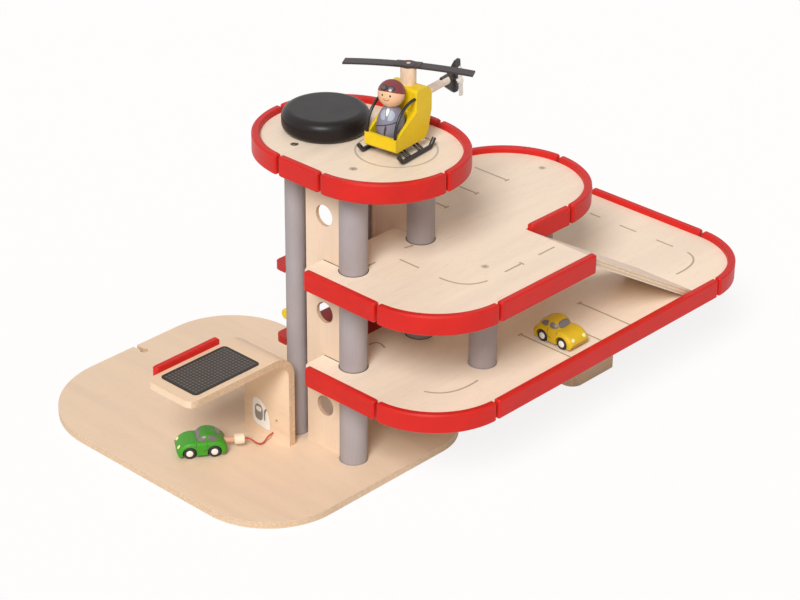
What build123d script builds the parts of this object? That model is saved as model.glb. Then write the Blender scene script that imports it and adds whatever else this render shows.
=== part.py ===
from build123d import *
import math
import os

# Toy parking garage with a hand-wound lift, in millimetres.
# X runs along the long decks, Y towards the back, Z up. The origin is on the table,
# under the axis of the front left pillar.

# ---- driving dimensions -------------------------------------------------------------
PLY = 8.0                 # thickness of every board
LEVEL = 110.0             # from one deck's top to the next
BASE_TOP = PLY
LOWER_TOP = BASE_TOP + LEVEL
UPPER_TOP = LOWER_TOP + LEVEL
ROOF_TOP = UPPER_TOP + 112.0

RAIL_W = 8.5              # guard rails round the decks
RAIL_H = 21.5
RAIL_PROUD = 6.0          # how far a rail stands above its deck
RAIL_GAP = 3.0            # gap between the ends of two rails
RAIL_CORNER = 3.0         # rounding of a rail's ends, seen from above
RAIL_EDGE = 1.6           # broken edge along a rail

PILLAR_D = 29.0
POST_D = 21.5
SEAT = 1.5                # depth of the round seat that a pillar stands in
SEAT_CLEAR = 0.7           # dark ring round a pillar's foot
PILLAR_X = 98.0           # second pair of pillars and posts, along X
POST_Y = 82.0             # the two long posts, along Y
FRONT_PILLAR = (PILLAR_X, -88.0)
EAR_PILLAR = (313.0, 21.0)

DECK_LEFT = -45.0         # outer face of the left rails
DECK_FRONT = -159.5       # outer face of the front rails
DECK_R = 87.0             # outer radius of the front left corner rails
DECK_LEFT_END = 38.0      # where the decks stop outside the left lift wall
DECK_LEFT_CORNER = 10.0   # rounding of the decks' back left corner
LEFT_RAIL_END = 28.0      # where the left rails stop, before that corner
SHAFT_FRONT = 36.0        # front edge of the lift shaft
SHAFT_RIGHT = 110.0       # deck edge beside the shaft, behind the right wall
LOWER_RIGHT = 487.0       # outer faces of the lower deck's right and rear rails
LOWER_BACK = 170.0
LOWER_R = 85.0
UPPER_EXIT = 189.0        # bare edge of the upper deck, where the ramp starts
STEP_FRONT = -71.0        # outer face of the short rail beside the ramp
EAR_CENTRE = (253.5, 19.25)
EAR_R = 90.25
ROOF_X = 47.75
ROOF_Y = (7.25, 65.25)    # centres of the roof's two round ends
ROOF_R = 89.25

BASE_X = (-170.0, 148.0)
BASE_Y = (-49.0, 341.0)
BASE_R = 86.0
BASE_BACK_R = 106.0       # back left corner
BASE_FRONT_R = 64.0
TRACK_SLOT = (-2.0, 9.0, 15.0)    # place along X, width and depth of the road slot

RAMP_FOOT = 371.0
RAMP_Y = (-150.4, -72.6)

WALL_T = 4.0              # the lift walls lie outside the pillars' axes
WALL_FIT = 0.2
WALL_END = 63.0           # back edge of the lift walls
WALL_HOLE_R = 11.5
WALL_HOLE_Y = 37.0

LEG_X = (278.0, 346.0)
LEG_Y = (-64.0, 74.0)
LEG_R = 14.0

CABIN_TOP = 203.0         # top of the cabin's roof plate at rest
CABIN_Y = (36.6, 107.0)
CABIN_SIDE = 5.0          # cabin's side, clear of the lift wall
CABIN_TAB_X = -8.0        # the tabs that reach round the posts
CABIN_TAB_Y = 72.4
POST_CLEAR = 0.35
CHEEK_X = (13.0, 20.0)
CHEEK_Y = (88.5, 106.5)
BAR_R = 6.0
BAR_Y = 99.2
BAR_Z = LOWER_TOP + 22.0

WINCH = (49.5, 87.5)      # axis of the winch, X and Y
KNOB_R = 45.0
KNOB_H = 22.5
KNOB_EDGE = 9.5
TURN_GAP = 0.3            # between a turning piece and what it turns on
SPINDLE_R = 6.0
SPINDLE_FIT = 0.05
DRUM_R = 15.0             # radius at which the lift cord winds
CORD_R = 1.0
SPOOL_Z = (318.0, 331.0)
CORD_Z = 324.5
CORD_Y = 62.0             # where the lift cord hangs

ARCH_X = (-166.0, -23.0)
ARCH_Y = (63.0, 131.0)
ARCH_R = 26.0
PANEL_X = (-153.0, -63.0)
PANEL_Y = (70.5, 124.5)
ARCH_RAIL_X = (-151.5, -61.0)
CORD_HOLE = (88.8, 13.9)  # Y and Z of the charging cord's hole in the arch wall
CHARGE_CORD_R = 0.9

WHEEL_R = 6.6
WHEELBASE = 26.0
TYRE_W = 6.0
AXLE_R = 1.5
CAR_W = 30.0
CAR_FLOOR = 3.6
CAR_SILL = 8.5
CAR_BELT = 18.6
DOME_W = 25.0
DOME_TOP = (-6.0, 26.4)                # highest point of a car's dome, along X and Z
DOME_FOOT = 12.4                       # height at which the dome enters the body
DOME_X = (-24.8, 6.5)
GROUND_GAP = 0.3
GREEN_CAR = (-101.8, 123.3, 144.0)     # X, Y and heading in degrees
YELLOW_CAR = (187.6, -116.4, -90.0)

HELI_AT = (59.8, -1.2, 187.0)          # X, Y and heading on the roof
SKID_Y = 24.5
SKID_R = 2.3
HELI_FLOOR = 11.0                      # underside of the body above the roof
HELI_W = 38.0
HELI_X = (-27.0, 27.5)
TOWER_FRONT = -6.0
TOWER_H = 55.0
TOWER_BACK = -33.0                     # the tower leans back to here
NOSE_H = 14.5
COCKPIT_R = 15.5
COCKPIT_X = 9.3
PILOT_R = 14.8
MAST_X = -18.5
MAST_R = 8.0
MAST_H = 18.0
ROTOR_SPAN = 131.0
ROTOR_CHORD = 12.0
ROTOR_TURN = -67.0
BOOM_R = 4.4
BOOM_LENGTH = 53.0
BOOM_Z = 35.5
FIN_T = 3.0
FIN_SLOT = 12.0                        # depth of the boom's slot for the fin
TAIL_ROTOR_AT = (-16.0, -5.0)          # tail rotor's axis behind and above the boom's end

os.makedirs("parts", exist_ok=True)


# ---- helpers ------------------------------------------------------------------------
def save(shape, node):
    """Write one node as a STEP file."""
    solids = shape.solids()
    whole = solids[0] if len(solids) == 1 else Compound(children=list(solids))
    export_step(whole, f"parts/{node}.step")


def block(x, y, z):
    """A box between two corners, each given as a pair per axis."""
    size = (x[1] - x[0], y[1] - y[0], z[1] - z[0])
    return Pos((x[0] + x[1]) / 2, (y[0] + y[1]) / 2, (z[0] + z[1]) / 2) * Box(*size)


def rod(x, y, z, radius):
    """An upright round bar at x, y between two heights."""
    return Pos(x, y, (z[0] + z[1]) / 2) * Cylinder(radius, z[1] - z[0])


def sheet(x, y, corners):
    """A flat rectangle with some corners rounded: corners is ((x, y), radius) pairs."""
    face = Pos((x[0] + x[1]) / 2, (y[0] + y[1]) / 2) * Rectangle(x[1] - x[0], y[1] - y[0])
    for place, radius in corners:
        corner = face.vertices().sort_by_distance((place[0], place[1], 0))[0]
        face = fillet(corner, radius)
    return face


def board(face, top, thickness=PLY):
    """A flat face made into a board whose top lies at the given height."""
    return extrude(Pos(0, 0, top - thickness) * face, amount=thickness)


def finish_rail(plan, top):
    """A rail from its plan: round ends, broken edges, standing proud of its deck."""
    plan = fillet(plan.vertices(), RAIL_CORNER)
    body = extrude(Pos(0, 0, top + RAIL_PROUD - RAIL_H) * plan, amount=RAIL_H)
    ends = body.faces().filter_by(Axis.Z).edges()
    return chamfer(ends, RAIL_EDGE)


def arc_rail(centre, radius, start, stop, top):
    """A curved rail of the given outer radius between two angles, less the end gaps."""
    trim = math.degrees(RAIL_GAP / 2 / radius)
    begin = start + trim
    sweep_angle = stop - start - 2 * trim
    outer = CenterArc(centre, radius, begin, sweep_angle)
    inner = CenterArc(centre, radius - RAIL_W, begin, sweep_angle)
    first = Line(outer @ 0, inner @ 0)
    last = Line(outer @ 1, inner @ 1)
    return finish_rail(make_face([outer, inner, first, last]), top)


def straight_rail(x, y, top):
    """A straight rail filling a rectangle, shortened by the gap at both ends."""
    if x[1] - x[0] > y[1] - y[0]:
        x = (x[0] + RAIL_GAP / 2, x[1] - RAIL_GAP / 2)
    else:
        y = (y[0] + RAIL_GAP / 2, y[1] - RAIL_GAP / 2)
    plan = Pos((x[0] + x[1]) / 2, (y[0] + y[1]) / 2) * Rectangle(x[1] - x[0], y[1] - y[0])
    return finish_rail(plan, top)


def group(pieces):
    return Compound(children=list(pieces))


# ---- boards and pillars -------------------------------------------------------------
def pillar_seats(places, top, diameter=PILLAR_D):
    """Shallow round seats sunk in a deck's top."""
    radius = diameter / 2 + SEAT_CLEAR
    return [rod(x, y, (top - SEAT, top + 1), radius) for x, y in places]


def base_board():
    slot_x, slot_w, slot_d = TRACK_SLOT
    corners = [
        ((BASE_X[0], BASE_Y[0]), BASE_R),
        ((BASE_X[1], BASE_Y[0]), BASE_FRONT_R),
        ((BASE_X[1], BASE_Y[1]), BASE_R),
        ((BASE_X[0], BASE_Y[1]), BASE_BACK_R),
    ]
    face = sheet(BASE_X, BASE_Y, corners)
    slot_half = slot_w / 2
    slot = Pos(slot_x, BASE_Y[1] - slot_d / 2) * Rectangle(slot_w * 0.55, slot_d)
    slot += Pos(slot_x, BASE_Y[1] - slot_d) * Circle(slot_half)
    body = board(face - slot, BASE_TOP)
    for seat in pillar_seats([(0, 0), (PILLAR_X, 0)], BASE_TOP):
        body -= seat
    for seat in pillar_seats([(0, POST_Y), (PILLAR_X, POST_Y)], BASE_TOP, POST_D):
        body -= seat
    return body


def left_end_cut(x0, back):
    """What is cut off a deck behind its left end, which has a round corner."""
    depth = back - DECK_LEFT_END
    cut = Pos((x0 - 1) / 2, DECK_LEFT_END + depth / 2) * Rectangle(1 - x0, depth)
    radius = DECK_LEFT_CORNER
    corner = Pos(x0 + radius / 2, DECK_LEFT_END - radius / 2) * Rectangle(radius, radius)
    return cut + (corner - Pos(x0 + radius, DECK_LEFT_END - radius) * Circle(radius))


def shaft_cut(back):
    """The lift shaft's opening in a deck, with the slots for the two walls."""
    left_slot_x = (-WALL_T - WALL_FIT, WALL_FIT)
    right_slot_x = (PILLAR_X - WALL_FIT, PILLAR_X + WALL_T + WALL_FIT)
    wall_front = PILLAR_D / 2
    cut = Pos(PILLAR_X / 2, (SHAFT_FRONT + back) / 2) * Rectangle(PILLAR_X, back - SHAFT_FRONT)
    for slot_x in (left_slot_x, right_slot_x):
        middle = (slot_x[0] + slot_x[1]) / 2
        depth = back - wall_front
        cut += Pos(middle, wall_front + depth / 2) * Rectangle(slot_x[1] - slot_x[0], depth)
    post_y = (POST_Y - POST_D / 2 - 1, back)
    cut += Pos(SHAFT_RIGHT / 2, (post_y[0] + post_y[1]) / 2) * Rectangle(SHAFT_RIGHT, back - post_y[0])
    return cut


def deck_lower():
    inner_r = LOWER_R - RAIL_W
    x = (DECK_LEFT + RAIL_W, LOWER_RIGHT - RAIL_W)
    y = (DECK_FRONT + RAIL_W, LOWER_BACK - RAIL_W)
    face = sheet(x, y, [
        ((x[0], y[0]), DECK_R - RAIL_W),
        ((x[1], y[0]), inner_r),
        ((x[1], y[1]), inner_r),
    ])
    back = y[1] + 1
    face -= left_end_cut(x[0], back)
    face -= shaft_cut(back)
    body = board(face, LOWER_TOP)
    for seat in pillar_seats([(0, 0), (PILLAR_X, 0), FRONT_PILLAR, EAR_PILLAR], LOWER_TOP):
        body -= seat
    return body


def deck_upper():
    x0 = DECK_LEFT + RAIL_W
    y0 = DECK_FRONT + RAIL_W
    ear_r = EAR_R - RAIL_W
    back = EAR_CENTRE[1] + ear_r
    face = sheet((x0, UPPER_EXIT), (y0, back), [((x0, y0), DECK_R - RAIL_W)])
    ear_front = EAR_CENTRE[1] - ear_r
    middle = ((SHAFT_RIGHT + EAR_CENTRE[0]) / 2, EAR_CENTRE[1])
    face += Pos(*middle) * Rectangle(EAR_CENTRE[0] - SHAFT_RIGHT, back - ear_front)
    face += Pos(*EAR_CENTRE) * Circle(ear_r)
    back += 1
    face -= left_end_cut(x0, back)
    face -= shaft_cut(back)
    body = board(face, UPPER_TOP)
    for seat in pillar_seats([(0, 0), (PILLAR_X, 0)], UPPER_TOP):
        body -= seat
    for x, y in (FRONT_PILLAR, EAR_PILLAR):
        body -= screw_hole(x, y, UPPER_TOP)
    return body


def deck_roof():
    inner_r = ROOF_R - RAIL_W
    length = ROOF_Y[1] - ROOF_Y[0]
    face = Pos(ROOF_X, sum(ROOF_Y) / 2) * Rectangle(2 * inner_r, length)
    for y in ROOF_Y:
        face += Pos(ROOF_X, y) * Circle(inner_r)
    face -= Pos(*WINCH) * Circle(SPINDLE_R + SPINDLE_FIT)
    body = board(face, ROOF_TOP)
    for x, y in ROOF_SCREWS:
        body -= screw_hole(x, y, ROOF_TOP)
    return body


def pillars(places, bottom, top):
    """Round dowels, each standing in its seat and reaching the board above."""
    return group(rod(x, y, (bottom - SEAT, top - PLY), PILLAR_D / 2) for x, y in places)


def drilled_pillars(places, drilled, bottom, top):
    """Dowels of which some take a screw from above."""
    pieces = []
    for place in places:
        piece = rod(*place, (bottom - SEAT, top - PLY), PILLAR_D / 2)
        if place in drilled:
            piece -= screw_hole(*place, top)
        pieces.append(piece)
    return group(pieces)


def long_posts():
    pieces = []
    for x in (0, PILLAR_X):
        piece = rod(x, POST_Y, (BASE_TOP - SEAT, ROOF_TOP - PLY), POST_D / 2)
        pieces.append(piece - screw_hole(x, POST_Y, ROOF_TOP))
    return group(pieces)


def lift_wall(x):
    """A tall thin board from the low side x, with one round window at each storey."""
    y = (PILLAR_D / 2 + WALL_FIT, WALL_END)
    body = block((x, x + WALL_T), y, (BASE_TOP, ROOF_TOP - PLY))
    for top in (BASE_TOP, LOWER_TOP, UPPER_TOP):
        window = Pos(x, WALL_HOLE_Y, top + LEVEL * 0.45)
        body -= window * Rot(0, 90, 0) * Cylinder(WALL_HOLE_R, 3 * PLY)
    return body


# ---- screws -------------------------------------------------------------------------
SCREW_R = 1.9
SCREW_HEAD_R = 4.2
SCREW_HEAD_H = 3.4
SCREW_LENGTH = 24.0
SCREW_FIT = 0.1
ROOF_SCREWS = [(0, 0), (PILLAR_X, 0), (0, POST_Y), (PILLAR_X, POST_Y)]
DECK_SCREWS = [FRONT_PILLAR, EAR_PILLAR]


def screw(x, y, top, fit=0.0):
    """A countersunk screw whose head lies just below the board's top."""
    head_top = top - 0.2 + fit
    shank = rod(x, y, (top - SCREW_LENGTH - fit, head_top - 0.5), SCREW_R + fit)
    head = Pos(x, y, head_top - SCREW_HEAD_H / 2) * Cone(SCREW_R + fit, SCREW_HEAD_R + fit, SCREW_HEAD_H)
    return shank + head


def screw_hole(x, y, top):
    return screw(x, y, top, SCREW_FIT) + rod(x, y, (top - 0.3, top + 1), SCREW_HEAD_R + SCREW_FIT)


def screws():
    pieces = [screw(x, y, ROOF_TOP) for x, y in ROOF_SCREWS]
    pieces += [screw(x, y, UPPER_TOP) for x, y in DECK_SCREWS]
    drive = 0.8
    slotted = []
    for piece in pieces:
        top = piece.bounding_box().max
        centre = piece.bounding_box().center()
        span = 0.62 * SCREW_HEAD_R
        for turn in (0, 90):
            cross = Pos(centre.X, centre.Y, top.Z) * Rot(0, 0, turn) * Box(2 * span, drive, 1.6)
            piece = piece - cross
        slotted.append(piece)
    return group(slotted)


# ---- rails --------------------------------------------------------------------------
def lower_rails():
    corner = (DECK_LEFT + DECK_R, DECK_FRONT + DECK_R)
    front_right = (LOWER_RIGHT - LOWER_R, DECK_FRONT + LOWER_R)
    back_right = (LOWER_RIGHT - LOWER_R, LOWER_BACK - LOWER_R)
    save(group([
        arc_rail(corner, DECK_R, 180, 270, LOWER_TOP),
        arc_rail(front_right, LOWER_R, 270, 360, LOWER_TOP),
        arc_rail(back_right, LOWER_R, 0, 90, LOWER_TOP),
    ]), "lower_rail_arcs")
    left = (DECK_LEFT, DECK_LEFT + RAIL_W)
    front = (DECK_FRONT, DECK_FRONT + RAIL_W)
    right = (LOWER_RIGHT - RAIL_W, LOWER_RIGHT)
    back = (LOWER_BACK - RAIL_W, LOWER_BACK)
    save(straight_rail(left, (corner[1], LEFT_RAIL_END), LOWER_TOP), "lower_rail_left")
    save(straight_rail((corner[0], front_right[0]), front, LOWER_TOP), "lower_rail_front")
    save(straight_rail(right, (front_right[1], back_right[1]), LOWER_TOP), "lower_rail_right")
    save(straight_rail((SHAFT_RIGHT, back_right[0]), back, LOWER_TOP), "lower_rail_rear")


def upper_rails():
    corner = (DECK_LEFT + DECK_R, DECK_FRONT + DECK_R)
    save(group([
        arc_rail(corner, DECK_R, 180, 270, UPPER_TOP),
        arc_rail(EAR_CENTRE, EAR_R, -90, 0, UPPER_TOP),
        arc_rail(EAR_CENTRE, EAR_R, 0, 90, UPPER_TOP),
    ]), "upper_rail_arcs")
    left = (DECK_LEFT, DECK_LEFT + RAIL_W)
    front = (DECK_FRONT, DECK_FRONT + RAIL_W)
    step = (STEP_FRONT, STEP_FRONT + RAIL_W)
    back = (EAR_CENTRE[1] + EAR_R - RAIL_W, EAR_CENTRE[1] + EAR_R)
    save(straight_rail(left, (corner[1], LEFT_RAIL_END), UPPER_TOP), "upper_rail_left")
    save(straight_rail((corner[0], UPPER_EXIT), front, UPPER_TOP), "upper_rail_front")
    save(straight_rail((UPPER_EXIT, EAR_CENTRE[0]), step, UPPER_TOP), "upper_rail_step")
    save(straight_rail((SHAFT_RIGHT, EAR_CENTRE[0]), back, UPPER_TOP), "upper_rail_rear")


def roof_rails():
    quarters = [(ROOF_Y[0], 180), (ROOF_Y[0], 270), (ROOF_Y[1], 0), (ROOF_Y[1], 90)]
    arcs = [arc_rail((ROOF_X, y), ROOF_R, turn, turn + 90, ROOF_TOP) for y, turn in quarters]
    save(group(arcs), "roof_rail_arcs")
    left = (ROOF_X - ROOF_R, ROOF_X - ROOF_R + RAIL_W)
    right = (ROOF_X + ROOF_R - RAIL_W, ROOF_X + ROOF_R)
    save(group(straight_rail(side, ROOF_Y, ROOF_TOP) for side in (left, right)), "roof_rail_sides")


# ---- ramp and leg -------------------------------------------------------------------
def ramp_board():
    """A straight board from the upper deck's bare edge down to the lower deck."""
    slope = math.atan2(UPPER_TOP - LOWER_TOP, RAMP_FOOT - UPPER_EXIT)
    outline = Polyline(
        (UPPER_EXIT, UPPER_TOP),
        (RAMP_FOOT, LOWER_TOP),
        (RAMP_FOOT - PLY / math.sin(slope), LOWER_TOP),
        (UPPER_EXIT, UPPER_TOP - PLY / math.cos(slope)),
        close=True,
    )
    face = Plane.XZ * make_face(outline)
    return Pos(0, RAMP_Y[1], 0) * extrude(face, amount=RAMP_Y[1] - RAMP_Y[0])


def support_leg():
    """A leg bent from one strip of plywood: front wall, left wall and rear wall."""
    outer = sheet(LEG_X, LEG_Y, [((LEG_X[0], y), LEG_R) for y in LEG_Y])
    inner_x = (LEG_X[0] + PLY, LEG_X[1] + 1)
    inner_y = (LEG_Y[0] + PLY, LEG_Y[1] - PLY)
    inner = sheet(inner_x, inner_y, [((inner_x[0], y), LEG_R - PLY) for y in inner_y])
    return extrude(outer - inner, amount=LOWER_TOP - PLY)


# ---- lift ---------------------------------------------------------------------------
def cabin_plate(top):
    """A plate that slides between the walls and reaches round the two long posts."""
    inner = (CABIN_SIDE, PILLAR_X - CABIN_SIDE)
    outer = (CABIN_TAB_X, PILLAR_X - CABIN_TAB_X)
    front_corners = [((x, CABIN_Y[0]), 8.0) for x in inner]
    back_corners = [((x, CABIN_Y[1]), 8.0) for x in outer]
    face = sheet(inner, CABIN_Y, front_corners)
    face += sheet(outer, (CABIN_TAB_Y, CABIN_Y[1]), back_corners)
    for x in (0, PILLAR_X):
        face -= Pos(x, POST_Y) * Circle(POST_D / 2 + POST_CLEAR)
        strip_x = (CABIN_TAB_X - 1, 0) if x == 0 else (PILLAR_X, PILLAR_X - CABIN_TAB_X + 1)
        centre = Pos(sum(strip_x) / 2, (CABIN_TAB_Y + POST_Y) / 2)
        face -= centre * Rectangle(strip_x[1] - strip_x[0], POST_Y - CABIN_TAB_Y + 2)
    return board(face, top)


def lift_cheeks():
    """The cabin's two uprights at the back, bored for the buffer bar."""
    height = (LOWER_TOP, CABIN_TOP - PLY)
    left = block(CHEEK_X, CHEEK_Y, height)
    mirror_x = (PILLAR_X - CHEEK_X[1], PILLAR_X - CHEEK_X[0])
    right = block(mirror_x, CHEEK_Y, height)
    hole = Pos(PILLAR_X / 2, BAR_Y, BAR_Z) * Rot(0, 90, 0) * Cylinder(BAR_R + 0.05, 2 * PILLAR_X)
    return group([left - hole, right - hole])


def buffer_bar():
    """A dowel across the back of the cabin that stops the cars."""
    bar = Rot(0, 90, 0) * Cylinder(BAR_R, PILLAR_X)
    bar = fillet(bar.edges(), 1.2)
    return Pos(PILLAR_X / 2, BAR_Y, BAR_Z) * bar


def lift_cord():
    """The cord from the drum to the guide, over its edge and down to the cabin."""
    x = WINCH[0] - DRUM_R
    path = FilletPolyline(
        (x, WINCH[1], CORD_Z),
        (x, CORD_Y, CORD_Z),
        (x, CORD_Y, CABIN_TOP),
        radius=5.0,
    )
    section = Plane(origin=path @ 0, z_dir=path % 0) * Circle(CORD_R)
    return sweep(section, path=path)


def cord_guide():
    """A block under the roof whose slot turns the cord downwards."""
    x = WINCH[0] - DRUM_R
    body = block((x - 7, x + 7), (CORD_Y - 9, CORD_Y + 6), (SPOOL_Z[0], ROOF_TOP - PLY))
    slot = block((x - 2, x + 2), (CORD_Y - 2.5, CORD_Y + 8), (SPOOL_Z[0] - 1, CORD_Z + 3))
    return body - slot


def winch_knob():
    """The round knob on the roof, with a soft edge all round."""
    body = Cylinder(KNOB_R, KNOB_H)
    top_edge = body.edges().sort_by(Axis.Z)[-1]
    body = fillet(top_edge, KNOB_EDGE)
    bottom_edge = body.edges().sort_by(Axis.Z)[0]
    body = fillet(bottom_edge, KNOB_EDGE * 0.8)
    body = Pos(*WINCH, ROOF_TOP + TURN_GAP + KNOB_H / 2) * body
    socket_top = ROOF_TOP + KNOB_H * 0.6
    return body - rod(*WINCH, (ROOF_TOP - 1, socket_top), SPINDLE_R + SPINDLE_FIT)


def winch_spool():
    """Spindle and drum turned in one piece, hung under the roof by the knob."""
    top = ROOF_TOP + KNOB_H * 0.6
    flange = 2.5
    body = rod(*WINCH, (SPOOL_Z[0], top), SPINDLE_R)
    body += rod(*WINCH, SPOOL_Z, DRUM_R - 3 * CORD_R)
    for low in (SPOOL_Z[0], SPOOL_Z[1] - flange):
        body += rod(*WINCH, (low, low + flange), DRUM_R + 4)
    return body


def cord_winding():
    """The turns of cord on the drum, wound side by side."""
    inner = DRUM_R - 3 * CORD_R
    height = (SPOOL_Z[0] + 2.5, SPOOL_Z[1] - 2.5)
    outer = rod(*WINCH, height, DRUM_R - CORD_R)
    return outer - rod(*WINCH, (height[0] - 1, height[1] + 1), inner)


# ---- charging bay -------------------------------------------------------------------
def charging_arch():
    """A canopy bent from plywood: one wall and a flat top."""
    top = LOWER_TOP
    outer = sheet(ARCH_X, (BASE_TOP, top), [((ARCH_X[1], top), ARCH_R)])
    inner_x = (ARCH_X[0] - 1, ARCH_X[1] - PLY)
    inner_z = (BASE_TOP - 1, top - PLY)
    inner = sheet(inner_x, inner_z, [((inner_x[1], inner_z[1]), ARCH_R - PLY)])
    body = Pos(0, ARCH_Y[1], 0) * extrude(Plane.XZ * (outer - inner), amount=ARCH_Y[1] - ARCH_Y[0])
    free_edges = body.edges().filter_by(Axis.Z).sort_by(Axis.X)[:2]
    body = fillet(free_edges, 10.0)
    y, z = CORD_HOLE
    face_x = ARCH_X[1] - PLY
    body -= Pos(face_x, y, z) * Rot(0, 90, 0) * Cylinder(CHARGE_CORD_R + 0.5, 8.0)
    body -= Pos(face_x, 82.0, 31.0) * Rot(0, 90, 0) * Cylinder(2.2, 6.0)
    return body


def solar_panel():
    """A thin printed panel with round corners, laid on the canopy."""
    corners = [((x, y), 5.0) for x in PANEL_X for y in PANEL_Y]
    return board(sheet(PANEL_X, PANEL_Y, corners), LOWER_TOP + 0.8, 0.8)


def arch_rail():
    return straight_rail(ARCH_RAIL_X, (ARCH_Y[1], ARCH_Y[1] + RAIL_W), LOWER_TOP)


def heading_vector(degrees):
    return Vector(math.cos(math.radians(degrees)), math.sin(math.radians(degrees)), 0)


PLUG_R = 5.6
PLUG_LENGTH = 11.0
TIP_R = 3.4
TIP_LENGTH = 12.0
TIP_IN_CAR = 3.5
CAR_LENGTH = 53.0
SOCKET_Z = 11.0           # height of the car's socket above the ground


def plug_frame():
    """The point on the car's rear where the plug goes in, and the plug's direction."""
    x, y, heading = GREEN_CAR
    forward = heading_vector(heading)
    rear = Vector(x, y, BASE_TOP + GROUND_GAP + SOCKET_Z) - forward * (CAR_LENGTH / 2)
    return rear, forward


def along(start, direction, radius, length):
    """A round bar from a point along a direction."""
    return extrude(Plane(origin=start, z_dir=direction) * Circle(radius), amount=length)


def plug_pieces():
    rear, forward = plug_frame()
    tip_start = rear + forward * TIP_IN_CAR - forward * TIP_LENGTH
    tip = along(tip_start, forward, TIP_R, TIP_LENGTH)
    body = along(tip_start - forward * PLUG_LENGTH, forward, PLUG_R, PLUG_LENGTH)
    body = chamfer(body.edges().filter_by(GeomType.CIRCLE), 0.8)
    return body, tip, tip_start - forward * PLUG_LENGTH, forward


def fitted_radii(points):
    """For each corner of a route: 0.45 of the shorter run over the tangent of half the turn."""
    radii = []
    for before, here, after in zip(points, points[1:], points[2:]):
        run_in = here - before
        run_out = after - here
        half_turn = math.radians(run_in.get_angle(run_out)) / 2
        radii.append(0.45 * min(run_in.length, run_out.length) / math.tan(half_turn))
    return radii


def charge_cord():
    """The limp cord from the canopy wall to the plug, dipping to the board."""
    body, tip, plug_end, forward = plug_pieces()
    hole_y, hole_z = CORD_HOLE
    face_x = ARCH_X[1] - PLY
    points = [
        Vector(face_x + 4.0, hole_y, hole_z),
        Vector(face_x - 5.5, hole_y, hole_z),
        Vector(-42.6, 87.2, 11.2),
        Vector(-49.0, 85.6, 10.0),
        Vector(-55.4, 86.9, 12.4),
        plug_end - forward * 5.0,
        plug_end,
    ]
    radii = fitted_radii(points)
    path = FilletPolyline(*points, radius=radii)
    section = Plane(origin=path @ 0, z_dir=path % 0) * Circle(CHARGE_CORD_R)
    cord = sweep(section, path=path)
    wanted = math.pi * CHARGE_CORD_R ** 2 * path.length
    print("charge cord length", round(path.length, 1), "radii", [round(r, 1) for r in radii])
    print("charge cord volume", round(cord.volume, 2), "section times length", round(wanted, 2))
    return cord


# ---- cars ---------------------------------------------------------------------------
def car_place(car, deck):
    x, y, heading = car
    return Pos(x, y, deck + GROUND_GAP) * Rot(0, 0, heading)


def dome_arc(foot_x):
    """A quarter of the dome's outline, level at the top, down to its foot at foot_x."""
    top_x, top_z = DOME_TOP
    drop = top_z - DOME_FOOT
    radius = ((foot_x - top_x) ** 2 + drop ** 2) / (2 * drop)
    side = 1 if foot_x > top_x else -1
    slant = radius * math.sqrt(0.5)
    middle = (top_x + side * slant, top_z - radius + slant)
    return ThreePointArc((foot_x, DOME_FOOT), middle, DOME_TOP)


def car_body(socket):
    """A small rounded saloon: domed cabin on a full body with four wheel arches."""
    half = CAR_LENGTH / 2
    tail = ThreePointArc((-half, CAR_SILL), (-23.4, 15.3), (-15.0, CAR_BELT))
    belt = Line((-15.0, CAR_BELT), (6.0, CAR_BELT))
    bonnet = ThreePointArc((6.0, CAR_BELT), (19.6, 16.0), (half, CAR_SILL))
    lower = Polyline((half, CAR_SILL), (half - 2.0, CAR_FLOOR), (-half + 2.0, CAR_FLOOR), (-half, CAR_SILL))
    face = Plane.XZ * make_face([tail, belt, bonnet, lower])
    body = Pos(0, CAR_W / 2, 0) * extrude(face, amount=CAR_W)
    upper_edges = body.edges().filter_by(lambda e: e.center().Z > 11 and abs(e.center().Y) > 1)
    body = fillet(upper_edges, 4.5)
    feet = Line(*[(x, DOME_FOOT) for x in DOME_X])
    dome_face = Plane.XZ * make_face([dome_arc(x) for x in DOME_X] + [feet])
    dome = Pos(0, DOME_W / 2, 0) * extrude(dome_face, amount=DOME_W)
    body += fillet(dome.edges().filter_by(GeomType.CIRCLE), 6.5)
    for x in (-WHEELBASE / 2, WHEELBASE / 2):
        for side in (-1, 1):
            well = Pos(x, side * (CAR_W - TYRE_W - 0.6), WHEEL_R) * Rot(90, 0, 0)
            body -= well * Cylinder(WHEEL_R + 1.0, CAR_W)
        body -= Pos(x, 0, WHEEL_R) * Rot(90, 0, 0) * Cylinder(AXLE_R + 0.06, 2 * CAR_W)
    if socket:
        body -= Pos(-half, 0, SOCKET_Z) * Rot(0, 90, 0) * Cylinder(TIP_R + 0.4, 2 * TIP_IN_CAR + 1.0)
    return body


def axle(x):
    """A steel axle with the two pale wheel hubs pressed on."""
    width = CAR_W - 0.8
    piece = Pos(x, 0, WHEEL_R) * Rot(90, 0, 0) * Cylinder(AXLE_R, width - 1.0)
    for side in (-1, 1):
        hub = Pos(x, side * (width / 2 - TYRE_W / 2), WHEEL_R) * Rot(90, 0, 0)
        piece += hub * Cylinder(3.6, TYRE_W)
    return piece


def tyres(x):
    pieces = []
    width = CAR_W - 0.8
    for side in (-1, 1):
        tyre = fillet(Cylinder(WHEEL_R, TYRE_W).edges(), 1.4)
        tyre -= Cylinder(3.65, 2 * TYRE_W)
        pieces.append(Pos(x, side * (width / 2 - TYRE_W / 2), WHEEL_R) * Rot(90, 0, 0) * tyre)
    return group(pieces)


def save_car(name, car, deck, socket):
    place = car_place(car, deck)
    save(place * car_body(socket), f"{name}_car_body")
    for end, x in (("front", WHEELBASE / 2), ("rear", -WHEELBASE / 2)):
        save(place * axle(x), f"{name}_{end}_axle")
        save(place * tyres(x), f"{name}_{end}_tyres")


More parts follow.
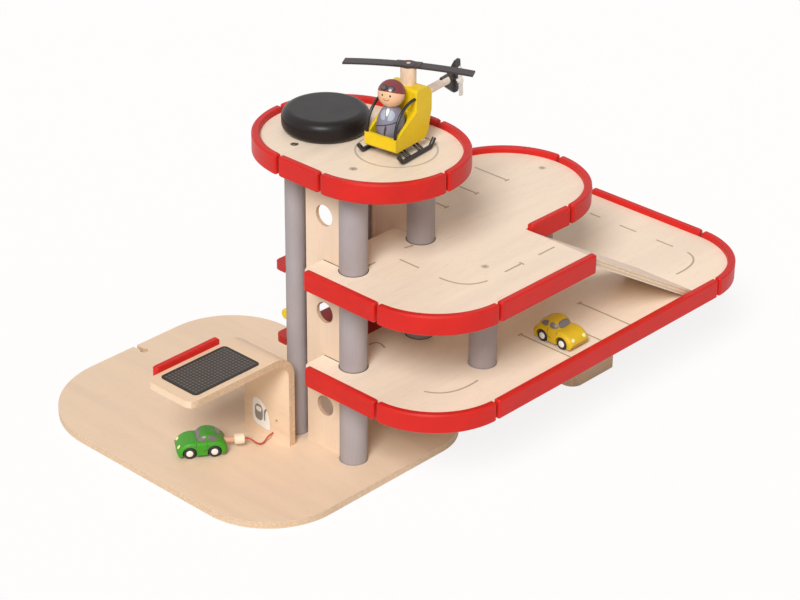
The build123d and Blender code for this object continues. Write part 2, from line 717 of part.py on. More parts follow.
# ---- helicopter ---------------------------------------------------------------------
def heli_body():
    """A wooden body: open cockpit in front, tower with a rounded back behind it."""
    x0, x1 = HELI_X
    z0 = HELI_FLOOR
    outline = Polyline(
        (x0, z0 + 8.0),
        (x0 + 5.0, z0),
        (x1 - 2.0, z0),
        (x1, z0 + 2.0),
        (x1, z0 + NOSE_H),
        (x1 - 3.5, z0 + NOSE_H),
        (TOWER_FRONT, z0 + 32.0),
        (TOWER_FRONT, z0 + TOWER_H),
        (TOWER_BACK, z0 + TOWER_H),
        (TOWER_BACK, z0 + BOOM_Z - 4.0),
        close=True,
    )
    face = make_face(outline)
    back_corner = face.vertices().sort_by_distance((TOWER_BACK, z0 + TOWER_H, 0))[0]
    face = fillet(back_corner, 13.0)
    front_corner = face.vertices().sort_by_distance((TOWER_FRONT, z0 + TOWER_H, 0))[0]
    face = fillet(front_corner, 3.0)
    body = Pos(0, HELI_W / 2, 0) * extrude(Plane.XZ * face, amount=HELI_W)
    floor = z0 + 4.0
    body -= rod(COCKPIT_X, 0, (floor, z0 + TOWER_H + 5), COCKPIT_R)
    body -= block((COCKPIT_X, x1 - 3.0), (-COCKPIT_R, COCKPIT_R), (floor, z0 + TOWER_H))
    sides = body.edges().filter_by(GeomType.CIRCLE).filter_by(
        lambda e: abs(abs(e.center().Y) - HELI_W / 2) < 0.01)
    return chamfer(sides, 1.0)


def heli_mast():
    z0 = HELI_FLOOR + TOWER_H
    return rod(MAST_X, 0, (z0, z0 + MAST_H), MAST_R) + rod(MAST_X, 0, (z0, z0 + MAST_H + 3.4), 2.0)


def main_rotor():
    """Two blades in one bent strip, drooping to the tips, with a thicker hub."""
    half = ROTOR_SPAN / 2
    thick = 2.0
    droop = 3.0
    under = ThreePointArc((-half, -droop), (0, 0), (half, -droop))
    over = ThreePointArc((-half, thick - droop), (0, thick), (half, thick - droop))
    ends = [Line((x, -droop), (x, thick - droop)) for x in (-half, half)]
    strip = Plane.XZ * make_face([under, over] + ends)
    blade = Pos(0, ROTOR_CHORD / 2, 0) * extrude(strip, amount=ROTOR_CHORD)
    hub = Pos(0, 0, 1.4) * Cylinder(7.5, 2.8)
    blade = blade + hub - Cylinder(2.05, 20)
    return Pos(MAST_X, 0, HELI_FLOOR + TOWER_H + MAST_H + 0.3) * Rot(0, 0, ROTOR_TURN) * blade


def tail_boom():
    """The dowel that carries the tail, slotted at its end for the fin."""
    start = Vector(TOWER_BACK + 2.0, 0, HELI_FLOOR + BOOM_Z)
    boom = along(start, Vector(-1, 0, 0), BOOM_R, BOOM_LENGTH)
    end_x = start.X - BOOM_LENGTH
    half_slot = FIN_T / 2 + 0.05
    z = start.Z
    return boom - block((end_x - 1, end_x + FIN_SLOT), (-half_slot, half_slot), (z - 9, z + 9))


def tail_fin():
    """A flat fin with three points, held in the boom's slot."""
    end_x = TOWER_BACK + 2.0 - BOOM_LENGTH
    z = HELI_FLOOR + BOOM_Z
    points = [(-21, 17.0), (-23, -4), (-18, -18), (-11.5, -17.5), (1, -8), (FIN_SLOT - 0.3, 5.5),
              (-2, 6), (-14, 16)]
    outline = Polyline(*[(end_x + x, z + up) for x, up in points], close=True)
    plate = Plane.XZ * fillet(make_face(outline).vertices(), 1.2)
    plate = Pos(0, FIN_T / 2, 0) * extrude(plate, amount=FIN_T)
    x, up = TAIL_ROTOR_AT
    return plate - Pos(end_x + x, 0, z + up) * Rot(90, 0, 0) * Cylinder(1.66, 4 * FIN_T)


def tail_rotor():
    """A small two-bladed rotor on its own axle, beside the fin."""
    back, up = TAIL_ROTOR_AT
    half = 16.5
    plane_y = BOOM_R + 0.5
    blade = RectangleRounded(2 * half, 5.0, 2.0)
    blades = extrude(blade, amount=1.8) + Pos(0, 0, 0.9) * Cylinder(3.4, 3.0)
    low = -plane_y - FIN_T / 2 - 0.6
    axle_piece = rod(0, 0, (low, 1.0), 1.6)
    x = TOWER_BACK + 2.0 - BOOM_LENGTH + back
    z = HELI_FLOOR + BOOM_Z + up
    plane = Plane(origin=(x, plane_y, z), x_dir=(0.1, 0, 1), z_dir=(0, 1, 0))
    return plane.location * (blades + axle_piece)


def skid_frame():
    """Two bent runners and their struts, moulded in one piece with the mounting plate."""
    body = block((-15, 15), (-11, 11), (HELI_FLOOR - 2.0, HELI_FLOOR))
    reach = 23.0
    for side in (-1, 1):
        y = side * SKID_Y
        z = SKID_R
        path = FilletPolyline(
            (-reach - 6.5, y, z + 7.5),
            (-reach, y, z),
            (reach, y, z),
            (reach + 6.5, y, z + 7.5),
            radius=5.0,
        )
        section = Plane(origin=path @ 0, z_dir=path % 0) * Circle(SKID_R)
        body += sweep(section, path=path)
        for x in (-13, -8, 8, 13):
            start = Vector(x, side * 9.5, HELI_FLOOR - 1.3)
            stop = Vector(x, y, z)
            body += along(start, stop - start, 1.2, (stop - start).length)
    return body


def windscreen_hoops():
    pieces = []
    for side in (-1, 1):
        y = side * (HELI_W / 2 - 1.9)
        front = (HELI_X[1] - 1.8, y, HELI_FLOOR + NOSE_H)
        bulge = (HELI_X[1] - 6.0, y, HELI_FLOOR + NOSE_H + 17.0)
        top = (TOWER_FRONT, y, HELI_FLOOR + TOWER_H - 9.0)
        path = ThreePointArc(front, bulge, top)
        section = Plane(origin=path @ 0, z_dir=path % 0) * Circle(1.6)
        pieces.append(sweep(section, path=path))
    return group(pieces)


# ---- pilot --------------------------------------------------------------------------
PILOT_FLOOR = HELI_FLOOR + 4.0
PILOT_H = 37.0
HEAD_R = 13.5
NECK_R = 6.0


def pilot_body():
    """A turned wooden body, widest below the middle."""
    z0 = PILOT_FLOOR + GROUND_GAP
    side = Spline((10.5, 0), (PILOT_R, 13.0), (12.6, 26.0), (NECK_R, PILOT_H))
    edges = [side, Line((0, 0), (10.5, 0)), Line((0, 0), (0, PILOT_H)), Line((0, PILOT_H), (NECK_R, PILOT_H))]
    half = make_face(edges)
    return Pos(COCKPIT_X, 0, z0) * revolve(Plane.XZ * half, axis=Axis.Z)


def pilot_head():
    z0 = PILOT_FLOOR + GROUND_GAP + PILOT_H
    drop = math.sqrt(HEAD_R ** 2 - NECK_R ** 2)
    ball = Pos(COCKPIT_X, 0, z0 + drop) * Sphere(HEAD_R)
    return ball - block((-40, 60), (-40, 40), (z0 - 30, z0))


def save_helicopter():
    x, y, heading = HELI_AT
    place = Pos(x, y, ROOF_TOP + GROUND_GAP) * Rot(0, 0, heading)
    boom_seat = along(Vector(TOWER_BACK + 2.0, 0, HELI_FLOOR + BOOM_Z), Vector(-1, 0, 0), BOOM_R + 0.05, 9.0)
    save(place * (heli_body() - boom_seat), "heli_body")
    save(place * heli_mast(), "heli_mast")
    save(place * main_rotor(), "main_rotor")
    save(place * tail_boom(), "tail_boom")
    save(place * tail_fin(), "tail_fin")
    save(place * tail_rotor(), "tail_rotor")
    save(place * skid_frame(), "skid_frame")
    save(place * windscreen_hoops(), "windscreen_hoops")
    save(place * pilot_body(), "pilot_body")
    save(place * pilot_head(), "pilot_head")


# ---- everything ---------------------------------------------------------------------
def main():
    save(base_board(), "base_board")
    save(deck_lower(), "deck_lower")
    save(deck_upper(), "deck_upper")
    save(deck_roof(), "deck_roof")
    near = [(0, 0), (PILLAR_X, 0)]
    middle = near + [FRONT_PILLAR, EAR_PILLAR]
    save(pillars(near, BASE_TOP, LOWER_TOP), "pillars_ground")
    save(drilled_pillars(middle, [FRONT_PILLAR, EAR_PILLAR], LOWER_TOP, UPPER_TOP), "pillars_lower")
    save(drilled_pillars(near, near, UPPER_TOP, ROOF_TOP), "pillars_upper")
    save(long_posts(), "long_posts")
    save(lift_wall(-WALL_T), "lift_wall_left")
    save(lift_wall(PILLAR_X), "lift_wall_right")
    save(screws(), "deck_screws")
    lower_rails()
    upper_rails()
    roof_rails()
    save(ramp_board(), "ramp_board")
    save(support_leg(), "support_leg")
    save(cabin_plate(LOWER_TOP), "lift_floor")
    save(cabin_plate(CABIN_TOP), "lift_roof")
    save(lift_cheeks(), "lift_uprights")
    save(buffer_bar(), "lift_buffer_bar")
    save(lift_cord(), "lift_cord")
    save(cord_guide(), "cord_guide")
    save(winch_knob(), "winch_knob")
    save(winch_spool(), "winch_spool")
    save(cord_winding(), "cord_winding")
    save(charging_arch(), "charging_arch")
    save(solar_panel(), "solar_panel")
    save(arch_rail(), "arch_rail")
    body, tip, plug_end, forward = plug_pieces()
    save(body, "plug_body")
    save(tip, "plug_tip")
    save(charge_cord(), "charge_cord")
    save_car("green", GREEN_CAR, BASE_TOP, True)
    save_car("yellow", YELLOW_CAR, LOWER_TOP, False)
    save_helicopter()


main()
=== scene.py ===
import math

import bpy
import bmesh
import numpy as np
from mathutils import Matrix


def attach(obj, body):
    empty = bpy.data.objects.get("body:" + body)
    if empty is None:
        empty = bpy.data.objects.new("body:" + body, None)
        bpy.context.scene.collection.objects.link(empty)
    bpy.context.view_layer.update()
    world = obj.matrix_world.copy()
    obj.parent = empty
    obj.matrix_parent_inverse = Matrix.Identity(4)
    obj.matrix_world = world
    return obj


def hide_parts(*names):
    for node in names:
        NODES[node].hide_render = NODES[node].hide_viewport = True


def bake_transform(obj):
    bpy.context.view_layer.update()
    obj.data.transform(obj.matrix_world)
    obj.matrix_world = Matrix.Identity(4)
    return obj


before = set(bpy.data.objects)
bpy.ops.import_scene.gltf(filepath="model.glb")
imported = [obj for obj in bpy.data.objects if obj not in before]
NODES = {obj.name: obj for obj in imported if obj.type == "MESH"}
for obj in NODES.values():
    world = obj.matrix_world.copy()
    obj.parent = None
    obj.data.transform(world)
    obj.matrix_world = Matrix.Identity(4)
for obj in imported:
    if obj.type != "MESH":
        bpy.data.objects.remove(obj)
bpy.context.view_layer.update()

# Toy parking garage with a hand-wound lift: looks and small painted or fitted pieces over the
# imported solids. Metres, X along the long decks, Y to the back, Z up.

bl_info = {
    "name": "Parking garage looks",
    "version": (1, 0, 0),
    "blender": (4, 5, 0),
    "location": "3D View > Sidebar > Garage",
    "description": "Dresses a wooden toy garage with its cars and helicopter",
    "category": "Object",
}

MM = 0.001

# ---- places that repeat the solids', in millimetres -------------------------------------
BASE_TOP = 8.0
LOWER_TOP = 118.0
UPPER_TOP = 228.0
ROOF_TOP = 340.0
GREEN_CAR = (-101.8, 123.3, BASE_TOP + 0.3, 144.0)
YELLOW_CAR = (187.6, -116.4, LOWER_TOP + 0.3, -90.0)
HELIPAD = (61.0, 0.0)
HELICOPTER = (59.8, -1.2, ROOF_TOP + 0.3, 187.0)
COCKPIT_X = 9.3
HEAD_R = 13.5
HEAD_Z = 64.39
PILOT_BASE_Z = 15.3
PANEL_X = (-153.0, -63.0)
PANEL_Y = (70.5, 124.5)
ARCH_WALL_X = -31.0
ARCH_CORNER = (-49.0, 92.0, 26.0)  # X and Z of the bend's centre and its outer radius
RAMP_NORMAL = (0.517, 0.0, 0.856)  # square to the ramp's faces
CORD_ROUTE = [
    (-27.0, 88.8, 13.9),
    (-36.5, 88.8, 13.9),
    (-42.6, 87.2, 11.2),
    (-49.0, 85.6, 10.0),
    (-55.4, 86.9, 12.4),
    (-60.540, 93.323, 19.3),
    (-64.585, 96.262, 19.3),
]
WINCH = (49.5, 87.5)
PILLARS_X = (0.0, 98.0)
SLOT_R = 14.95
SLOT_WIDTH = 0.9
WALL_FACE_X = -4.7
WALL_STRIP_X = (98.0, 102.0)
WALL_STRIP_Y = (63.0, 71.0)
WALL_STRIP_Z = (8.05, 331.9)
LIFT_CORD = [(34.5, 87.5, 324.5), (34.5, 62.0, 324.5), (34.5, 62.0, 203.0)]
COIL_R, COIL_Z, COIL_RISE = 13.0, 321.6, 1.94  # cord on the drum: radius, lowest turn, rise of a turn
PRINT_UNIT = 1.1  # mm
TICK = 3.0  # half a parking mark's cross tick, in print units
PLY = 1.6  # thickness of one ply
EDGE_FACING = 0.7  # part of a normal from which a face of plywood counts as its edge
PANEL_BORDER, CELL_PITCH = 3.0, 4.2  # solar print: dark border and one cell with its line
FLOOR_HALF, FLOOR_Z, FLOOR_GLOW = 6.0, -0.0002, 0.80  # metres, metres, and the floor's part of glow


# ---- settings -------------------------------------------------------------------------
class GaragePaint(bpy.types.PropertyGroup):
    """Colours of the wood and of its lacquers."""

    birch: bpy.props.StringProperty(name="Birch", description="Face veneer", default="#F7E5D0")
    red: bpy.props.StringProperty(name="Rail red", description="Lacquer on the rails", default="#CE231C")
    grey: bpy.props.StringProperty(name="Dowel grey", description="Lacquer on pillars and posts", default="#A69E9F")
    black: bpy.props.StringProperty(name="Knob black", description="Satin lacquer on the knob", default="#201B1B")
    yellow: bpy.props.StringProperty(name="Yellow", description="Second car and helicopter", default="#EBC91C")
    green: bpy.props.StringProperty(name="Green", description="First car", default="#459B2A")
    maroon: bpy.props.StringProperty(name="Maroon", description="The pilot's cap", default="#7E2F35")
    overall: bpy.props.StringProperty(name="Overall", description="The pilot's clothes", default="#7F7C8B")
    skin: bpy.props.StringProperty(name="Skin", description="The pilot's face", default="#E9B992")
    road: bpy.props.StringProperty(name="Road paint", description="Printed lines on the decks", default="#B7A690")


class GarageSizes(bpy.types.PropertyGroup):
    """Sizes of the printed and fitted pieces."""

    line_width: bpy.props.FloatProperty(
        name="Line width", description="Width of a printed road line", default=0.0021, unit="LENGTH")
    film: bpy.props.FloatProperty(
        name="Paint film", description="Height of print above its board", default=0.00012, unit="LENGTH")
    helipad_radius: bpy.props.FloatProperty(
        name="Helipad radius", description="Middle of the printed ring", default=0.041, unit="LENGTH")
    lift_cord: bpy.props.FloatProperty(
        name="Lift cord", description="Diameter of the lift cord", default=0.002, unit="LENGTH")
    charge_cord: bpy.props.FloatProperty(
        name="Charging cord", description="Diameter of the charging cord", default=0.0018, unit="LENGTH")


# ---- colours and nodes ----------------------------------------------------------------
def linear(text):
    """sRGB hex text to a linear colour with alpha."""
    channels = np.array([int(text[i:i + 2], 16) for i in (1, 3, 5)]) / 255.0
    bent = np.where(channels <= 0.04045, channels / 12.92, ((channels + 0.055) / 1.055) ** 2.4)
    return (*bent.tolist(), 1.0)


def shade(text, factor):
    """The same hex colour, darker or lighter by a factor in linear light."""
    red, green, blue, alpha = linear(text)
    return (min(red * factor, 1.0), min(green * factor, 1.0), min(blue * factor, 1.0), alpha)


def feed(tree, node, feeds):
    """Pairs a node's sockets with values or with other nodes' outputs."""
    for socket, value in dict(feeds).items():
        if isinstance(value, bpy.types.NodeSocket):
            tree.links.new(value, node.inputs[socket])
        else:
            node.inputs[socket].default_value = value


def add(tree, kind, feeds=(), **settings):
    """Adds a node with its settings and its feeds."""
    made = tree.nodes.new(kind)
    for key, value in settings.items():
        setattr(made, key, value)
    feed(tree, made, feeds)
    return made


def maths(tree, operation, *values):
    """A math node's output; the values are numbers or other nodes' outputs."""
    return add(tree, "ShaderNodeMath", dict(enumerate(values)), operation=operation).outputs[0]


def mix(tree, factor, first, second):
    """The output of a node that mixes two colours."""
    return add(tree, "ShaderNodeMix", {"Factor": factor, "A": first, "B": second}, data_type="RGBA").outputs["Result"]


def remap(tree, value, low, high, to_low=0.0, to_high=1.0):
    """The output of a node that maps low to high onto to_low to to_high, held at both ends."""
    return add(tree, "ShaderNodeMapRange", {"Value": value, "From Min": low, "From Max": high,
                                            "To Min": to_low, "To Max": to_high}).outputs[0]


def noise(tree, vector, scale, detail, **more):
    """A noise texture's output, its scale in cells per metre."""
    return add(tree, "ShaderNodeTexNoise", {"Vector": vector, "Scale": scale, "Detail": detail, **more}).outputs[0]


def emboss(tree, shader, height, strength, distance):
    """Gives the shader relief from a height; the distance is in metres."""
    relief = add(tree, "ShaderNodeBump", {"Height": height, "Strength": strength, "Distance": distance})
    feed(tree, shader, {"Normal": relief.outputs[0]})


def new_material(name):
    """An empty node material with its shader and output."""
    material = bpy.data.materials.new(name)
    material.use_nodes = True
    tree = material.node_tree
    tree.nodes.clear()
    shader = add(tree, "ShaderNodeBsdfPrincipled")
    add(tree, "ShaderNodeOutputMaterial", {"Surface": shader.outputs[0]})
    return material, tree, shader


def birch_plywood(name, face, layers, grain):
    """Birch plywood, rotary cut, sanded and clear lacquered.

    The faces show cream veneer with soft wavy bands and short brown flecks along the grain, and
    the edges show thin light and dark plies. grain is the axis the veneer runs along. layers is
    "x", "y" or "z" for the axis the plies are stacked along, "bend" for the canopy or "ramp" for
    the sloping board."""
    material, tree, shader = new_material(name)
    place = add(tree, "ShaderNodeTexCoord")
    stretch = {"x": (0.10, 1, 1), "y": (1, 0.10, 1), "z": (1, 1, 0.10)}[grain]
    along = add(tree, "ShaderNodeMapping", {"Vector": place.outputs["Object"], "Scale": stretch})
    # Bands of the rotary cut are about 40 mm wide: 26 noise cells per metre.
    bands = noise(tree, along.outputs[0], 26.0, 2.0, Roughness=0.5, Distortion=1.2)
    # Flecks are real pores 0.2 mm wide, drawn 0.5 mm wide so that they show.
    flecks = noise(tree, along.outputs[0], 620.0, 2.0, Roughness=0.6)
    light = add(tree, "ShaderNodeValToRGB", {"Fac": bands})
    light.color_ramp.elements[0].position = 0.34
    light.color_ramp.elements[0].color = shade(face, 0.945)
    light.color_ramp.elements[1].position = 0.68
    light.color_ramp.elements[1].color = shade(face, 1.03)
    fleck_mask = remap(tree, flecks, 0.58, 0.80, 0.0, 0.32)
    veneer = mix(tree, fleck_mask, light.outputs[0], linear("#C9A67F"))
    split = add(tree, "ShaderNodeSeparateXYZ", {"Vector": place.outputs["Object"]})
    facing = add(tree, "ShaderNodeSeparateXYZ", {"Vector": place.outputs["Normal"]})
    if layers == "bend":
        across = maths(tree, "SUBTRACT", split.outputs["X"], ARCH_CORNER[0] * MM)
        across = maths(tree, "MAXIMUM", across, 0.0)
        height = maths(tree, "SUBTRACT", split.outputs["Z"], ARCH_CORNER[1] * MM)
        height = maths(tree, "MAXIMUM", height, 0.0)
        pair = add(tree, "ShaderNodeCombineXYZ", {"X": across, "Y": height})
        reach = add(tree, "ShaderNodeVectorMath", {0: pair.outputs[0]}, operation="LENGTH")
        depth, side, test = reach.outputs["Value"], facing.outputs["Y"], "GREATER_THAN"
    elif layers == "ramp":
        lean = add(tree, "ShaderNodeVectorMath", {0: place.outputs["Object"], 1: RAMP_NORMAL},
                   operation="DOT_PRODUCT")
        depth, side, test = lean.outputs["Value"], facing.outputs["Y"], "GREATER_THAN"
    else:
        depth, side, test = split.outputs[layers.upper()], facing.outputs[layers.upper()], "LESS_THAN"
    edge = maths(tree, test, maths(tree, "ABSOLUTE", side), EDGE_FACING)
    # Light and dark plies take turns: cross plies show end grain and are darker.
    saw = maths(tree, "FRACT", maths(tree, "MULTIPLY", depth, 1.0 / (2 * PLY * MM)))
    stripe = remap(tree, saw, 0.44, 0.56)
    spread = noise(tree, place.outputs["Object"], 420.0, 2.0)
    ply_tone = mix(tree, stripe, shade(face, 0.84), linear("#DCB991"))
    worn = remap(tree, spread, 0.35, 0.7, 0.86, 1.05)
    ply_tone = add(tree, "ShaderNodeVectorMath",
                   {0: ply_tone, 1: worn}, operation="MULTIPLY")
    tone = mix(tree, edge, veneer, ply_tone.outputs[0])
    tree.links.new(tone, shader.inputs["Base Color"])
    gloss = remap(tree, bands, 0.3, 0.7, 0.42, 0.56)
    tree.links.new(gloss, shader.inputs["Roughness"])
    emboss(tree, shader, flecks, 0.12, 0.0002)
    return material


def lacquered_wood(name, colour, roughness, grain="z", depth=0.10, worn=0.10):
    """Coloured lacquer sprayed on turned or sawn beech.

    An even opaque colour with a soft gloss; the grain still shows as fine shallow lines along
    the piece, and the film is a little uneven in tone and gloss."""
    material, tree, shader = new_material(name)
    place = add(tree, "ShaderNodeTexCoord")
    stretch = {"x": (0.05, 1, 1), "y": (1, 0.05, 1), "z": (1, 1, 0.05), "": (1, 1, 1)}[grain]
    along = add(tree, "ShaderNodeMapping", {"Vector": place.outputs["Object"], "Scale": stretch})
    # Grain lines about 0.8 mm apart under the film.
    lines = noise(tree, along.outputs[0], 900.0, 2.0)
    # Tone drifts over 25 mm.
    drift = noise(tree, place.outputs["Object"], 40.0, 2.0)
    both = maths(tree, "ADD", lines, drift)
    tone = add(tree, "ShaderNodeValToRGB", {"Fac": maths(tree, "MULTIPLY", both, 0.8)})
    tone.color_ramp.elements[0].position = 0.6
    tone.color_ramp.elements[0].color = shade(colour, 1.0 - worn)
    tone.color_ramp.elements[1].position = 1.0
    tone.color_ramp.elements[1].color = shade(colour, 1.0 + worn * 0.4)
    feed(tree, shader, {"Specular IOR Level": 0.22, "Base Color": tone.outputs[0]})
    gloss = remap(tree, drift, 0.3, 0.7, roughness - 0.04, roughness + 0.05)
    tree.links.new(gloss, shader.inputs["Roughness"])
    emboss(tree, shader, lines, depth, 0.0002)
    return material


def bare_beech(name, colour, grain):
    """Steamed beech, turned and waxed: warm pale brown with short dark rays along the grain."""
    material, tree, shader = new_material(name)
    place = add(tree, "ShaderNodeTexCoord")
    stretch = {"x": (0.12, 1, 1), "y": (1, 0.12, 1), "z": (1, 1, 0.12)}[grain]
    along = add(tree, "ShaderNodeMapping", {"Vector": place.outputs["Object"], "Scale": stretch})
    # Rays about 0.6 mm wide and 5 mm long.
    rays = noise(tree, along.outputs[0], 1100.0, 2.0)
    tone = add(tree, "ShaderNodeValToRGB", {"Fac": rays})
    tone.color_ramp.elements[0].position = 0.36
    tone.color_ramp.elements[0].color = shade(colour, 0.90)
    tone.color_ramp.elements[1].position = 0.62
    tone.color_ramp.elements[1].color = shade(colour, 1.04)
    feed(tree, shader, {"Base Color": tone.outputs[0], "Roughness": 0.5})
    emboss(tree, shader, rays, 0.15, 0.0002)
    return material


def moulded_plastic(name, colour, roughness, grit=900.0, bump=0.05, coat=0.0):
    """Injection moulded plastic or a thick smooth lacquer: even colour, faint orange peel."""
    material, tree, shader = new_material(name)
    place = add(tree, "ShaderNodeTexCoord")
    peel = noise(tree, place.outputs["Object"], grit, 2.0)
    drift = noise(tree, place.outputs["Object"], 60.0, 2.0)
    tone = mix(tree, drift, shade(colour, 0.93), shade(colour, 1.06))
    tree.links.new(tone, shader.inputs["Base Color"])
    gloss = add(tree, "ShaderNodeMapRange",
                {"Value": drift, "To Min": max(roughness - 0.05, 0.02), "To Max": roughness + 0.06})
    feed(tree, shader, {"Roughness": gloss.outputs[0], "Coat Weight": coat})
    emboss(tree, shader, peel, bump, 0.0003)
    return material


def plated_steel(name):
    """Zinc plated steel screws, stamped: grey metal with a slightly brushed gloss."""
    material, tree, shader = new_material(name)
    place = add(tree, "ShaderNodeTexCoord")
    marks = noise(tree, place.outputs["Object"], 1500.0, 3.0)
    tone = mix(tree, marks, linear("#B8A48E"), linear("#E8DAC8"))
    feed(tree, shader, {"Base Color": tone, "Metallic": 1.0})
    gloss = add(tree, "ShaderNodeMapRange", {"Value": marks, "To Min": 0.28, "To Max": 0.5})
    tree.links.new(gloss.outputs[0], shader.inputs["Roughness"])
    return material


def solar_film(name):
    """Solar panel print under clear film: grey-brown cells between nearly black lines.

    Cells are repeated each 4.2 mm with lines 1.3 mm wide, inside a dark border 3 mm wide."""
    material, tree, shader = new_material(name)
    place = add(tree, "ShaderNodeTexCoord")
    split = add(tree, "ShaderNodeSeparateXYZ", {"Vector": place.outputs["Object"]})
    gaps = []
    for axis, limits in (("X", PANEL_X), ("Y", PANEL_Y)):
        printed = limits[1] - limits[0] - 2 * PANEL_BORDER
        cells = round(printed / CELL_PITCH)
        start = maths(tree, "SUBTRACT", split.outputs[axis], (limits[0] + PANEL_BORDER) * MM)
        turns = maths(tree, "DIVIDE", start, printed / cells * MM)
        size = maths(tree, "ABSOLUTE", maths(tree, "SUBTRACT", maths(tree, "FRACT", turns), 0.5))
        line = remap(tree, size, 0.31, 0.38)
        low = maths(tree, "GREATER_THAN", turns, -0.05)
        high = maths(tree, "LESS_THAN", turns, cells + 0.05)
        gaps.append((line, maths(tree, "MULTIPLY", low, high)))
    either = maths(tree, "MAXIMUM", gaps[0][0], gaps[1][0])
    inside = maths(tree, "MULTIPLY", gaps[0][1], gaps[1][1])
    cells = maths(tree, "MULTIPLY", maths(tree, "SUBTRACT", 1.0, either), inside)
    dust = noise(tree, place.outputs["Object"], 90.0, 3.0)
    cell = mix(tree, dust, linear("#4F4842"), linear("#645C55"))
    tone = mix(tree, cells, linear("#20160F"), cell)
    feed(tree, shader, {"Base Color": tone, "Roughness": 0.42, "Specular IOR Level": 0.3})
    return material


def twisted_cord(name, colour, pitch):
    """Cotton cord of twisted yarns: matt, with slanting ridges at the twist's pitch in metres."""
    material, tree, shader = new_material(name)
    place = add(tree, "ShaderNodeTexCoord")
    ridges = add(tree, "ShaderNodeTexWave",
                 {"Vector": place.outputs["Object"], "Scale": 0.314 / pitch, "Distortion": 1.5, "Detail": 1.0},
                 wave_type="BANDS", bands_direction="DIAGONAL")
    # Darker between the ridges: painted shade in the grooves between the yarns.
    tone = mix(tree, ridges.outputs[0], shade(colour, 0.72), shade(colour, 1.08))
    feed(tree, shader, {"Base Color": tone, "Roughness": 0.85, "Sheen Weight": 0.2})
    emboss(tree, shader, ridges.outputs[0], 0.5, 0.0003)
    return material


MATERIALS = {}


def make_materials(paint):
    """All materials, by short name."""
    MATERIALS.update({
        "ply_flat": birch_plywood("birch_plywood_flat", paint.birch, "z", "x"),
        "ply_base": birch_plywood("birch_plywood_base", "#E9D0B5", "z", "y"),
        "ply_wall": birch_plywood("birch_plywood_wall", "#E6CEB5", "x", "z"),
        "ply_ramp": birch_plywood("birch_plywood_ramp", paint.birch, "ramp", "x"),
        "ply_bend": birch_plywood("birch_plywood_bent", "#EACFB1", "bend", "y"),
        "red_x": lacquered_wood("red_lacquer_along_x", paint.red, 0.40, "x"),
        "red_y": lacquered_wood("red_lacquer_along_y", paint.red, 0.40, "y"),
        "red_arc": lacquered_wood("red_lacquer_curved", paint.red, 0.40, ""),
        # A darker red than the rails' lacquer: painted shade for the lift inside its shaft.
        "red_lift_shaded": lacquered_wood("red_lacquer_lift_painted_shade", "#B9302C", 0.45, "x"),
        "grey": lacquered_wood("grey_lacquer_dowel", paint.grey, 0.55, "z", 0.07, 0.05),
        "black": lacquered_wood("black_lacquer_knob", paint.black, 0.34, "", 0.04, 0.08),
        "yellow": lacquered_wood("yellow_lacquer", paint.yellow, 0.36, "", 0.05, 0.08),
        "yellow_car": lacquered_wood("golden_yellow_lacquer", "#D6B226", 0.36, "", 0.05, 0.08),
        "green": lacquered_wood("green_lacquer", paint.green, 0.34, "", 0.05, 0.08),
        "steel": plated_steel("plated_steel_screw"),
        "black_plastic": moulded_plastic("black_moulded_plastic", "#1A1614", 0.34),
        "rotor": moulded_plastic("dark_rotor_strip", "#352B2A", 0.5),
        "rubber": moulded_plastic("black_rubber_tyre", "#2A2727", 0.62, 1400.0, 0.12),
        "hub": moulded_plastic("white_hub_plastic", "#EDE9E2", 0.3),
        "beech": bare_beech("waxed_beech", "#F0D2B4", "z"),
        "beech_x": bare_beech("waxed_beech_boom", "#F4E3D3", "x"),
        "skin": moulded_plastic("skin_tone_lacquer", paint.skin, 0.42),
        "overall": moulded_plastic("grey_blue_lacquer", paint.overall, 0.5),
        "maroon": moulded_plastic("maroon_lacquer", paint.maroon, 0.42),
        "lens": moulded_plastic("dark_glossy_print", "#1D1A1C", 0.2, coat=0.4),
        "window": moulded_plastic("grey_mauve_window_print", "#756B6B", 0.3),
        "seam": moulded_plastic("dark_line_print", "#3A3036", 0.5),
        "lapel": moulded_plastic("pale_blue_print", "#A3ABBB", 0.5),
        "mouth": moulded_plastic("brown_red_line_print", "#6E2A22", 0.5),
        "goggle_glass": moulded_plastic("grey_lens_print", "#565152", 0.25, coat=0.2),
        "sign_grey": moulded_plastic("grey_sign_print", "#8E8880", 0.5),
        "lamp": moulded_plastic("pale_yellow_lamp_print", "#F4E9A8", 0.3),
        "white_print": moulded_plastic("white_print", "#F4F1EA", 0.45),
        # Painted shade: a dark brown film that stands in for the shade inside the gaps of the decks.
        "gap_painted_shade": moulded_plastic("painted_shade_in_gaps", "#3A2A20", 0.8),
        "ring": moulded_plastic("pale_ring_print", "#C4B9AB", 0.6, 1400.0, 0.15),
        "road": moulded_plastic("road_print", paint.road, 0.6, 1400.0, 0.15),
        "solar": solar_film("solar_cell_film"),
        "cord_red": twisted_cord("red_cotton_cord", "#C8432F", 0.0016),
        "cord_pale": twisted_cord("natural_cotton_cord", "#E6DCCB", 0.0020),
        "plug": moulded_plastic("cream_plug", "#F0E0C6", 0.45),
        "plug_tip": moulded_plastic("rose_brown_plug_tip", "#D9A88A", 0.45),
    })


